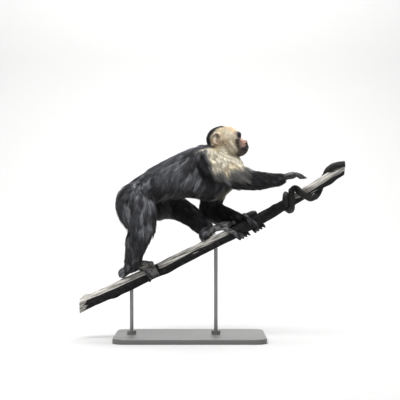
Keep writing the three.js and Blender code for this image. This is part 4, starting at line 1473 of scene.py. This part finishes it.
def coat_growth(p):
    """How long the coat is against its region's length: short at the face, long at the flanks and rump."""
    x, _, z = p.T
    q = mirrored(p)
    face = step(-20, 34, q[:, 0] + 0.3 * np.abs(q[:, 1]))
    near_head = step(14, 4, head_shape(q))
    growth = 1 - np.maximum(0.62 * face * near_head, 0.5 * ear_share(p))
    growth += 0.3 * soft_spot(q, *BEFORE_EAR)
    growth += 0.3 * soft_spot(p, *SHOULDER) + 0.7 * soft_spot(p, *FAR_CROOK)
    growth *= 1 + 0.35 * step(-100, -170, x) * step(200, 260, z)
    flank = step(375, 352, z) * step(326, 340, z) * step(-120, -100, x) * step(20, 0, x)
    growth *= 1 + 0.3 * flank
    return growth


def coat_loft(p):
    """How far the coat stands out against its region's depth: most at the throat and where it closes gaps."""
    throat = soft_spot(p * (1, 0, 1), (120, 0, 408), (26, 1, 15))
    nape = soft_spot(p * (1, 0, 1), (37, 0, 464), (10, 1, 9))
    ears = soft_spot(mirrored(p), *BEFORE_EAR)
    rump = step(-128, -168, p[:, 0]) * step(215, 250, p[:, 2])
    crook, shoulder = soft_spot(p, *FAR_CROOK), soft_spot(p, *SHOULDER)
    return 1 + 1.1 * throat + 0.5 * nape + 0.3 * ears + 0.5 * rump + 1.2 * crook + 0.35 * shoulder


def coat_sizes(shares, growth, loft, length_scale):
    """The coat's length and depth at places that grow and stand out so much."""
    length = blend(shares, "length") * growth * length_scale * (0.75 + 0.25 * loft)
    return length, blend(shares, "depth") * np.clip(growth, 0.35, 1.1) * loft


def lock_of(root, way, lock_root):
    """The lock that each tuft belongs to: the nearest, where distance along the lie counts for less."""
    tree = search_tree(lock_root)
    near = np.array([[found[1] for found in tree.find_n(point, 5)] for point in root])
    offset = root[:, None] - lock_root[near]
    forward = (offset * way[:, None]).sum(axis=2)
    apart = (offset**2).sum(axis=2) - 0.85 * forward**2
    return near[np.arange(len(root)), apart.argmin(axis=1)]


def coat_shades(colour, tone, lock_tone):
    """Root and tip colours of tufts: darker at the root and lighter at the tip as painted sheen, and a
    painted grey highlight on the tips of the black coat's brightest locks.
    """
    dark = step(0.30, 0.08, colour.mean(axis=1))
    factor = np.exp(tone * (0.08 + 0.22 * dark) + lock_tone * (0.06 + 0.50 * dark))[:, None]
    # painted highlight: the tips of the brightest black locks go towards the sheen colour
    painted_sheen = step(0.5, 1.9, lock_tone) * dark * step(0.012, 0.05, colour.mean(axis=1))
    tip = mix(colour * factor, SHEEN, 0.55 * painted_sheen)
    base = colour * factor * np.where(dark > 0.5, 0.62, 0.92)[:, None]
    return {"root": np.clip(base, 0.002, 1), "tip": np.clip(tip, 0.002, 1)}


def make_coat(ground, layers, length_scale, clump, seed):
    """Tufts over the skin, each drawn towards its lock, as pieces by region with the slot of each."""
    rng = np.random.default_rng(seed)
    density = coat_density(ground, layers)
    total = int(weighed_triangles(ground.mesh, density)[1].sum() / 2)
    root, normal, near = sample_surface(ground.mesh, density, total, rng)
    shares = ground.shares[:, near]
    way = ground.lie[near]
    side = unit(np.cross(way, normal))
    growth = coat_growth(root)
    length, depth = coat_sizes(shares, growth, coat_loft(root), length_scale)
    slim = 1 - 0.25 * cream_share(root, normal, shares)
    width = blend(shares, "width") * rng.uniform(0.7, 1.3, total) * np.clip(growth, 0.6, 1) * slim

    locks = total // TUFTS_IN_LOCK
    lock_root, lock_normal, lock_near = sample_surface(ground.mesh, density, locks, rng)
    lock = lock_of(root, way, lock_root)
    lock_shade = np.clip(rng.normal(0, 1, locks), *LOCK_TONES)
    lock_rise = rng.uniform(0.75, 1.15, locks)
    lock_growth, lock_loft = coat_growth(lock_root), coat_loft(lock_root)
    lock_length, lock_depth = coat_sizes(ground.shares[:, lock_near], lock_growth, lock_loft, length_scale)
    lock_way = ground.lie[lock_near] + rng.normal(0, 0.13, (locks, 3))
    lock_way = unit(lock_way - (lock_way * lock_normal).sum(axis=1, keepdims=True) * lock_normal)
    lock_steps = [(0.45, 0.7 * lock_depth * lock_rise), (0.55, 1.0 * lock_depth * lock_rise)]
    guides = ground.walk(lock_root, lock_normal, lock_way, lock_length, lock_steps)

    stray = unit(way + side * rng.normal(0, 0.13, total)[:, None])
    lift = 1.2 * depth * lock_rise[lock] * rng.uniform(0.75, 1.15, total)
    grown = length * rng.uniform(0.65, 1.2, total)
    hairs = ground.walk(root, normal, stray, grown, [(0.45, 0.65 * lift), (0.55, 0.95 * lift)])
    offset = root - lock_root[lock]
    reach = np.linalg.norm(offset, axis=1)
    pull = clump * step(24, 8, reach)
    for k, t in ((1, 0.4), (2, 1.0)):
        target = guides[lock, k] + offset * (1 - 0.75 * t)
        hairs[:, k] += (pull * t)[:, None] * (target - hairs[:, k])
    hairs[:, 2, 2] -= 0.05 * length

    colour, _ = markings(root, normal, shares)
    shades = coat_shades(colour, rng.normal(0, 1, total), lock_shade[lock])
    region = shares.argmax(axis=0)
    corner = unwrap(root, region, *(values[:, near] for values in (ground.places, ground.axes, ground.runs)))
    material = coat_material()
    long_ones = length >= LONG_TUFT
    kinds = (("", [0, 1, 2], 10, long_ones), ("_short", [0, 2], 4, ~long_ones))
    made = []
    for index, name in enumerate(NAMES):
        for label, stations, tris, chosen in kinds:
            picked = np.nonzero((region == index) & chosen)[0]
            if not len(picked):
                continue
            picked = picked[np.argsort(root[picked, 0], kind="stable")]
            parts = np.array_split(picked, math.ceil(len(picked) * tris / PIECE_LIMIT))
            for number, rows in enumerate(parts, 1):
                piece = tuft_mesh(
                    f"coat_{name}{label}" + (f"_{number}" if len(parts) > 1 else ""),
                    hairs[rows][:, stations],
                    side[rows],
                    width[rows],
                    width[rows] * 0.3,
                    {key: value[rows] for key, value in shades.items()},
                    corner[rows],
                )
                piece.data.materials.append(material)
                made.append((piece, "cream_fur" if colour[rows].mean() > 0.25 else "black_fur"))
    return made


# ---- eyes and nails ----

def make_eye(side):
    """An eyeball whose clear front stands a little proud, with each point's angle from the line of sight."""
    p, faces = unit_ball(bmesh.ops.create_uvsphere, u_segments=40, v_segments=28)
    angle = np.arccos(np.clip(p[:, 2], -1, 1))
    bulge = 0.07 * step(0.75, 0.25, angle)
    gaze = unit(EYE["gaze"] * (1, side, 1))
    level = unit(np.cross(Z, gaze))
    up = np.cross(gaze, level)
    p = p * (1 + bulge)[:, None] * (EYE["radius"] - 0.15)
    p = p @ np.array([level, up, gaze]) + EYE["at"] * (1, side, 1) + HEAD
    name = "eye_ball_left" if side > 0 else "eye_ball_right"
    made = make_object(name, p, faces)
    face_outwards(made)
    q = read_points(made.data) - (EYE["at"] * (1, side, 1) + HEAD)
    angle = np.arccos(np.clip(unit(q) @ gaze, -1, 1)) / math.pi
    add_values(made.data, "gaze_angle", "FLOAT", angle)
    return made


def nail_blank():
    """One nail: a narrow arched plate, 1 long and along X, its back towards Z."""
    rows, columns = 6, 5
    top = []
    for i in range(rows):
        for j in range(columns):
            x, y = i / (rows - 1), j / (columns - 1) * 2 - 1
            wide = 0.42 * (1 - 0.35 * x**3)
            top.append((x - 0.2, y * wide, 0.16 - 0.22 * y * y - 0.16 * x * x))
    top = np.array(top)
    verts = np.vstack([top, top - (0, 0, 0.1)])
    n = rows * columns
    faces = []
    for i in range(rows - 1):
        for j in range(columns - 1):
            a = i * columns + j
            faces.append((a, a + columns, a + columns + 1, a + 1))
            faces.append((n + a, n + a + 1, n + a + columns + 1, n + a + columns))
    grid = np.arange(n).reshape(rows, columns)
    rim = [*grid[0], *grid[1:, -1], *grid[-1, -2::-1], *grid[-2:0:-1, 0]]
    for a, b in zip(rim, rim[1:] + rim[:1]):
        faces.append((a, b, n + b, n + a))
    made = make_object("nail_blank", verts / MM, faces)
    face_outwards(made)
    return made


def set_input(modifier, group, name, value):
    """Sets a modifier's input by the socket's identifier."""
    for item in group.interface.items_tree:
        if item.item_type == "SOCKET" and item.in_out == "INPUT" and item.name == name:
            modifier[item.identifier] = value
            return
    raise ValueError(f"{group.name} has no input {name}")


def nail_tree(blank, material):
    """Puts the blank on each point, along its digit and facing back, and makes it real."""
    group = bpy.data.node_groups.new("Nails on digits", "GeometryNodeTree")
    side = group.interface
    side.new_socket("Geometry", in_out="INPUT", socket_type="NodeSocketGeometry")
    side.new_socket("Nail length", in_out="INPUT", socket_type="NodeSocketFloat").default_value = 0.006
    side.new_socket("Geometry", in_out="OUTPUT", socket_type="NodeSocketGeometry")
    start, end = group.nodes.new("NodeGroupInput"), group.nodes.new("NodeGroupOutput")
    info = node(group, "GeometryNodeObjectInfo")
    info.inputs["Object"].default_value = blank
    ahead = node(group, "GeometryNodeInputNamedAttribute", {"Name": "ahead"}, data_type="FLOAT_VECTOR")
    back = node(group, "GeometryNodeInputNamedAttribute", {"Name": "back"}, data_type="FLOAT_VECTOR")
    thick = node(group, "GeometryNodeInputNamedAttribute", {"Name": "thick"}, data_type="FLOAT")
    along_digit = node(group, "FunctionNodeAlignRotationToVector", axis="X")
    face_back = node(group, "FunctionNodeAlignRotationToVector", axis="Z", pivot_axis="X")
    size = node(group, "ShaderNodeMath", operation="MULTIPLY")
    scatter = node(group, "GeometryNodeInstanceOnPoints")
    real = node(group, "GeometryNodeRealizeInstances")
    finish = node(group, "GeometryNodeSetMaterial", {"Material": material})
    link = group.links.new
    link(ahead.outputs["Attribute"], along_digit.inputs["Vector"])
    link(along_digit.outputs["Rotation"], face_back.inputs["Rotation"])
    link(back.outputs["Attribute"], face_back.inputs["Vector"])
    link(thick.outputs["Attribute"], size.inputs[0])
    link(start.outputs["Nail length"], size.inputs[1])
    link(start.outputs["Geometry"], scatter.inputs["Points"])
    link(info.outputs["Geometry"], scatter.inputs["Instance"])
    link(face_back.outputs["Rotation"], scatter.inputs["Rotation"])
    link(size.outputs["Value"], scatter.inputs["Scale"])
    link(scatter.outputs["Instances"], real.inputs["Geometry"])
    link(real.outputs["Geometry"], finish.inputs["Geometry"])
    link(finish.outputs["Geometry"], end.inputs["Geometry"])
    return group


def make_nails(length):
    tips = np.array([nail[0] + nail[2] * DIGIT["tip"] * nail[3] * 0.8 for nail in NAILS])
    made = make_object("nails", tips, [])
    for column, (key, kind_of_value) in enumerate(
        (("ahead", "FLOAT_VECTOR"), ("back", "FLOAT_VECTOR"), ("thick", "FLOAT")), 1
    ):
        add_values(made.data, key, kind_of_value, [nail[column] for nail in NAILS])
    blank = nail_blank()
    group = nail_tree(blank, nail_material())
    modifier = made.modifiers.new("Nails", "NODES")
    modifier.node_group = group
    set_input(modifier, group, "Nail length", length)
    applied(made)
    bpy.data.objects.remove(blank)
    return made


# ---- branch and vine ----

# Knots: where along the branch and round it, how high, how long, and how wide round it.
BRANCH_KNOTS = [
    (-246, 20, 5.0, 9, 0.5), (-186, 150, 3.0, 12, 0.6), (-60, 200, 3.2, 14, 0.6), (20, 120, 2.5, 12, 0.5),
    (205, 30, 3.0, 10, 0.5), (245, -70, 3.2, 12, 0.6), (330, 170, 2.6, 12, 0.6),
]


def round_stem(place, angle, reach):
    """Points round a stem, for a pattern that follows it: how far along it they are, and where round it."""
    return np.stack([np.full(len(angle), place), np.cos(angle) * reach, np.sin(angle) * reach], axis=1)


def make_branch():
    """The perch, with long ridges, knots and torn ends, and where the bark has stayed on it."""
    sides, steps = 96, 260
    angle = ring_angles(sides)
    rings, bark, fibre = [], [], []
    for x in np.linspace(*BRANCH_ENDS, steps):
        centre, tangent, up, radius = Branch.at(x)
        around = round_stem(x * 0.012, angle, 2.2)
        fine = round_stem(x * 0.03, angle, 7)
        lump = round_stem(x * 0.05, angle, 1.5)
        r = radius - 0.6 + 1.2 * noise(around, 1, 11) + 0.8 * noise(fine, 1, 12) + 0.7 * noise(lump, 1, 13)
        r += 0.8 * noise(fine * (1, 2.2, 2.2), 1, 14)
        for at, degrees, height, reach, spread in BRANCH_KNOTS:
            turn = np.angle(np.exp(1j * (angle - math.radians(degrees))))
            r += height * np.exp(-((x - at) / reach) ** 2 - (turn / spread) ** 2)
        out = np.cos(angle)[:, None] * up - np.sin(angle)[:, None] * Y
        ring = centre + out * r[:, None]
        lean = (ring[:, 0] - x) / tangent[0]
        ring = ring - lean[:, None] * tangent * step(30, 0, min(x - BRANCH_ENDS[0], BRANCH_ENDS[1] - x))
        rings.append(ring)
        top = np.cos(angle)
        level = 0.1 - 0.5 * step(248, 268, x)
        bare_top = step(level - 0.14, level + 0.14, top + 0.42 * noise(around * (2.4, 1.7, 1.7), 1, 15))
        stretch = step(-285, -262, x) * step(112, 92, x) + step(232, 246, x)
        stretch = stretch * (1 - 0.9 * step(-106, -96, x) * step(-66, -78, x))
        end = step(-236, -262, x + 14 * noise(fine, 1, 16)) * 0.9
        bark.append(1 - np.clip(np.maximum(bare_top * stretch, end), 0, 1))
        fibre.append(round_stem(x * 0.02, angle, 5.5) + (0, 0.02 * x, 0))
    made = make_object("branch_wood", *skin_rings(rings, rings[0].mean(axis=0), rings[-1].mean(axis=0)))
    bark = np.append(np.concatenate(bark), [0.1, 0.1])
    fibre = np.vstack([*fibre, [[-5, 0, 0]], [[7, 0, 0]]])
    add_values(made.data, "bark", "FLOAT", bark)
    add_values(made.data, "fibre", "FLOAT_VECTOR", fibre)
    face_outwards(made)
    made.data.materials.append(wood_material())
    return made


VINE_RADIUS = 7.9
VINE_STEM = [
    (376, -20, 420), (364, -17, 419), (349, -12, 416.5), (337, -8, 409.5), (332, 3, 403.5), (328, 12, 395),
    (322, 18.5, 384), (317, 21, 370), (312.5, 16, 357), (308.5, 8, 350), (302.5, -1, 343), (289, -10, 338),
    (276, -19, 342.5), (264, -20, 351.5), (256.5, -15, 359.5), (250.5, -12, 362.5), (243.5, -15, 357),
    (241.5, -20, 345), (242.5, -21, 330), (243, -18, 320), (242.5, -8, 311.5), (239, 3, 308), (235, 17, 314),
    (232, 21, 330), (231.5, 13, 342), (230.5, 0, 346), (229.5, -14, 340), (229.5, -21, 328), (230, -20, 318),
]


def make_vine(radius):
    """A woody stem with a thin one wound round it, lumpy and ridged."""
    core = spline(VINE_STEM, 420)
    core = core[core[:, 0] < BRANCH_ENDS[1]]
    tangent = unit(np.gradient(core, axis=0))
    across = unit(np.cross(tangent, (0.42, 0.16, 0.9)))
    out = np.cross(across, tangent)
    length = np.concatenate([[0], np.cumsum(np.linalg.norm(np.diff(core, axis=0), axis=1))])
    flesh = Flesh()
    angle = ring_angles(36)
    for size, aside in ((radius * 0.92, 0.0), (radius * 0.3, radius * 0.82)):
        turn = length / 17
        path = core + aside * (np.cos(turn)[:, None] * across + np.sin(turn)[:, None] * out)
        rings = []
        for i in range(len(path)):
            twist = angle + length[i] / 40
            where = round_stem(length[i] * 0.05 + aside, twist, 1.5)
            ridge = 0.045 * np.sin(7 * twist) + 0.1 * noise(where, 1, 21) + 0.06 * noise(where * 3, 1, 22)
            r = size * (1 + ridge) * (1 - 0.5 * step(10, 0, len(path) - 1 - i))
            ring = path[i] + (np.cos(angle) * r)[:, None] * across[i]
            rings.append(ring + (np.sin(angle) * r)[:, None] * out[i])
        flesh.add(skin_rings(rings, path[0], path[-1] + tangent[-1] * 2))
    made = make_object("vine_stems", np.vstack(flesh.verts), flesh.faces)
    face_outwards(made)
    made.data.materials.append(vine_material())
    return made


# ---- settings ----

class CapuchinBody(bpy.types.PropertyGroup):
    voxel: bpy.props.FloatProperty(
        name="Skin detail", description="Size of the cells that fuse the skin",
        default=0.0015, min=0.001, max=0.006, unit="LENGTH",
    )
    share: bpy.props.FloatProperty(
        name="Body detail", description="Share of the skin's points kept under the coat",
        default=0.4, min=0.1, max=1, subtype="FACTOR",
    )
    nail: bpy.props.FloatProperty(
        name="Nail length", description="Length of a nail on a digit",
        default=0.0062, min=0.002, max=0.02, unit="LENGTH",
    )


class CapuchinCoat(bpy.types.PropertyGroup):
    layers: bpy.props.FloatProperty(
        name="Layers", description="How many tufts overlap", default=8.5, min=1, max=12,
    )
    length: bpy.props.FloatProperty(
        name="Length", description="Coat length against the natural one",
        default=1.0, min=0.3, max=1.6, subtype="FACTOR",
    )
    clump: bpy.props.FloatProperty(
        name="Locks", description="How strongly tufts gather into locks",
        default=0.6, min=0, max=1, subtype="FACTOR",
    )
    seed: bpy.props.IntProperty(name="Seed", description="Changes where tufts fall", default=7)


class CapuchinStand(bpy.types.PropertyGroup):
    board: bpy.props.FloatVectorProperty(
        name="Board colour", description="Paint on the base board",
        default=(0.12, 0.12, 0.118), subtype="COLOR",
    )


class CapuchinStage(bpy.types.PropertyGroup):
    floor: bpy.props.FloatVectorProperty(
        name="Floor colour", description="Colour of the floor and backdrop",
        default=(0.50, 0.50, 0.498), subtype="COLOR",
    )
    distance: bpy.props.FloatProperty(
        name="Camera distance", description="From the camera to the animal",
        default=3.0, min=1, max=10, unit="LENGTH",
    )
    view_width: bpy.props.FloatProperty(
        name="View width", description="Width of the picture at the animal",
        default=0.96, min=0.2, max=4, unit="LENGTH",
    )
    light: bpy.props.FloatProperty(
        name="Light", description="Strength of the main light", default=67.0, min=0, unit="POWER",
    )


# ---- operators ----

FLESH_NODES = [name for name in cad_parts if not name.startswith(("eye_", "perch_", "stand_"))]


class CAPUCHIN_OT_skin(bpy.types.Operator):
    """Makes the one skin over head, body, limbs and tail"""

    bl_idname = "capuchin.skin"
    bl_label = "Skin"

    def execute(self, context):
        body = context.scene.capuchin_body
        skin = make_skin(body.voxel * (1), body.share)
        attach(skin, "root")
        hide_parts(*FLESH_NODES)
        return {"FINISHED"}


class CAPUCHIN_OT_coat(bpy.types.Operator):
    """Grows the coat in tufts over the skin"""

    bl_idname = "capuchin.coat"
    bl_label = "Coat"

    def execute(self, context):
        coat = context.scene.capuchin_coat
        ground = Ground(bpy.data.objects["skin"].data)
        layers = coat.layers / 1
        for piece, slot in make_coat(ground, layers, coat.length, coat.clump, coat.seed):
            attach(piece, "root")
        return {"FINISHED"}


class CAPUCHIN_OT_eyes(bpy.types.Operator):
    """Makes both eyes"""

    bl_idname = "capuchin.eyes"
    bl_label = "Eyes"

    def execute(self, context):
        material = eye_material()
        for side, name in ((1, "eye_left"), (-1, "eye_right")):
            eye = make_eye(side)
            eye.data.materials.append(material)
            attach(eye, "root")
            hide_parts(name)
        return {"FINISHED"}


class CAPUCHIN_OT_nails(bpy.types.Operator):
    """Puts a nail on each finger and toe"""

    bl_idname = "capuchin.nails"
    bl_label = "Nails"

    def execute(self, context):
        nails = make_nails(context.scene.capuchin_body.nail)
        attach(nails, "root")
        return {"FINISHED"}


class CAPUCHIN_OT_branch(bpy.types.Operator):
    """Makes the weathered branch"""

    bl_idname = "capuchin.branch"
    bl_label = "Branch"

    def execute(self, context):
        wood = make_branch()
        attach(wood, "root")
        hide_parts("perch_branch")
        return {"FINISHED"}


class CAPUCHIN_OT_vine(bpy.types.Operator):
    """Makes the knotted vine"""

    bl_idname = "capuchin.vine"
    bl_label = "Vine"

    def execute(self, context):
        vine = make_vine(VINE_RADIUS)
        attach(vine, "root")
        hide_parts("perch_vine")
        return {"FINISHED"}


class CAPUCHIN_OT_stand(bpy.types.Operator):
    """Finishes the board and the rods"""

    bl_idname = "capuchin.stand"
    bl_label = "Stand"

    def execute(self, context):
        board = lacquer_material(tuple(context.scene.capuchin_stand.board))
        steel = steel_material()
        for name, material in (("stand_base", board), ("stand_rod_1", steel), ("stand_rod_2", steel)):
            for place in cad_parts[name].material_slots:
                place.material = material
        return {"FINISHED"}


class CAPUCHIN_OT_stage(bpy.types.Operator):
    """Sets the floor, the lights and the camera"""

    bl_idname = "capuchin.stage"
    bl_label = "Stage"

    def execute(self, context):
        stage = context.scene.capuchin_stage
        make_stage(tuple(stage.floor), stage.distance, stage.view_width, stage.light)
        return {"FINISHED"}


PICTURE_CENTRE = {"x": 0.024, "z": 0.3336}


def make_floor(colour):
    """The floor, which rises behind the object in a quarter round to a wall."""
    front, foot, sweep, top, half = -5.0, 3.4, 1.2, 5.0, 6.0
    turns = np.linspace(0, math.pi / 2, 24)[1:]
    profile = [(front, 0.0), (foot, 0.0)]
    profile += [(foot + sweep * math.sin(a), sweep - sweep * math.cos(a)) for a in turns]
    profile += [(foot + sweep, top)]
    verts = [(x, y, z) for y, z in profile for x in (-half, half)]
    faces = [(2 * i, 2 * i + 1, 2 * i + 3, 2 * i + 2) for i in range(len(profile) - 1)]
    floor = make_object("studio_floor", np.array(verts) / MM, faces)
    material, _, _ = new_material("Studio floor", {"Base Color": (*colour, 1), "Roughness": 0.9})
    floor.data.materials.append(material)
    return floor


def make_stage(floor_colour, distance, width, light):
    floor = make_floor(floor_colour)

    scene = bpy.context.scene
    scene.view_settings.view_transform = "Standard"
    world = bpy.data.worlds.new("Studio")
    world.use_nodes = True
    background = world.node_tree.nodes["Background"]
    background.inputs["Color"].default_value = (1, 1, 1, 1)
    background.inputs["Strength"].default_value = 0.5
    scene.world = world
    lamps = [
        ("key", (-0.5, -1.1, 2.3), (0.0, 0.0, 0.35), 1.3, light),
        ("top", (0.3, 0.3, 2.5), (0.0, 0.0, 0.35), 1.2, light * 0.6),
        ("backdrop", (0.0, 2.7, 3.0), (0.0, 4.4, 0.4), 3.5, light * 2.7),
    ]
    for name, at, aim, size, power in lamps:
        lamp = bpy.data.lights.new(name, "AREA")
        lamp.shape = "SQUARE"
        lamp.size = size
        lamp.energy = power
        made = new_object(name, lamp)
        made.location = at
        made.rotation_euler = (Vector(aim) - Vector(at)).to_track_quat("-Z", "Y").to_euler()

    camera = bpy.data.cameras.new("camera")
    camera.sensor_width = 36.0
    camera.lens = camera.sensor_width * distance / width
    scene.camera = new_object("camera", camera)
    scene.camera.location = (PICTURE_CENTRE["x"], -distance, PICTURE_CENTRE["z"])
    scene.camera.rotation_euler = (math.pi / 2, 0, 0)


class CAPUCHIN_PT_panel(bpy.types.Panel):
    """The pieces of the capuchin and their settings"""

    bl_idname = "CAPUCHIN_PT_panel"
    bl_label = "Capuchin"
    bl_space_type = "VIEW_3D"
    bl_region_type = "UI"
    bl_category = "Capuchin"

    def draw(self, context):
        scene = context.scene
        for group, names in (
            (scene.capuchin_body, ("voxel", "share", "nail")),
            (scene.capuchin_coat, ("layers", "length", "clump", "seed")),
            (scene.capuchin_stand, ("board",)),
            (scene.capuchin_stage, ("floor", "distance", "view_width", "light")),
        ):
            box = self.layout.box()
            for name in names:
                box.prop(group, name)
        for operator in OPERATORS:
            self.layout.operator(operator.bl_idname)


GROUPS = {
    "capuchin_body": CapuchinBody,
    "capuchin_coat": CapuchinCoat,
    "capuchin_stand": CapuchinStand,
    "capuchin_stage": CapuchinStage,
}
OPERATORS = [
    CAPUCHIN_OT_skin, CAPUCHIN_OT_coat, CAPUCHIN_OT_eyes, CAPUCHIN_OT_nails,
    CAPUCHIN_OT_branch, CAPUCHIN_OT_vine, CAPUCHIN_OT_stand, CAPUCHIN_OT_stage,
]


def register():
    for made in [*GROUPS.values(), *OPERATORS, CAPUCHIN_PT_panel]:
        bpy.utils.register_class(made)
    for name, group in GROUPS.items():
        setattr(bpy.types.Scene, name, bpy.props.PointerProperty(type=group))


def unregister():
    for name in GROUPS:
        delattr(bpy.types.Scene, name)
    for made in reversed([*GROUPS.values(), *OPERATORS, CAPUCHIN_PT_panel]):
        bpy.utils.unregister_class(made)


def main():
    register()
    bpy.ops.capuchin.skin()
    bpy.ops.capuchin.coat()
    bpy.ops.capuchin.eyes()
    bpy.ops.capuchin.nails()
    bpy.ops.capuchin.branch()
    bpy.ops.capuchin.vine()
    bpy.ops.capuchin.stand()
    bpy.ops.capuchin.stage()


if __name__ == "__main__":
    main()
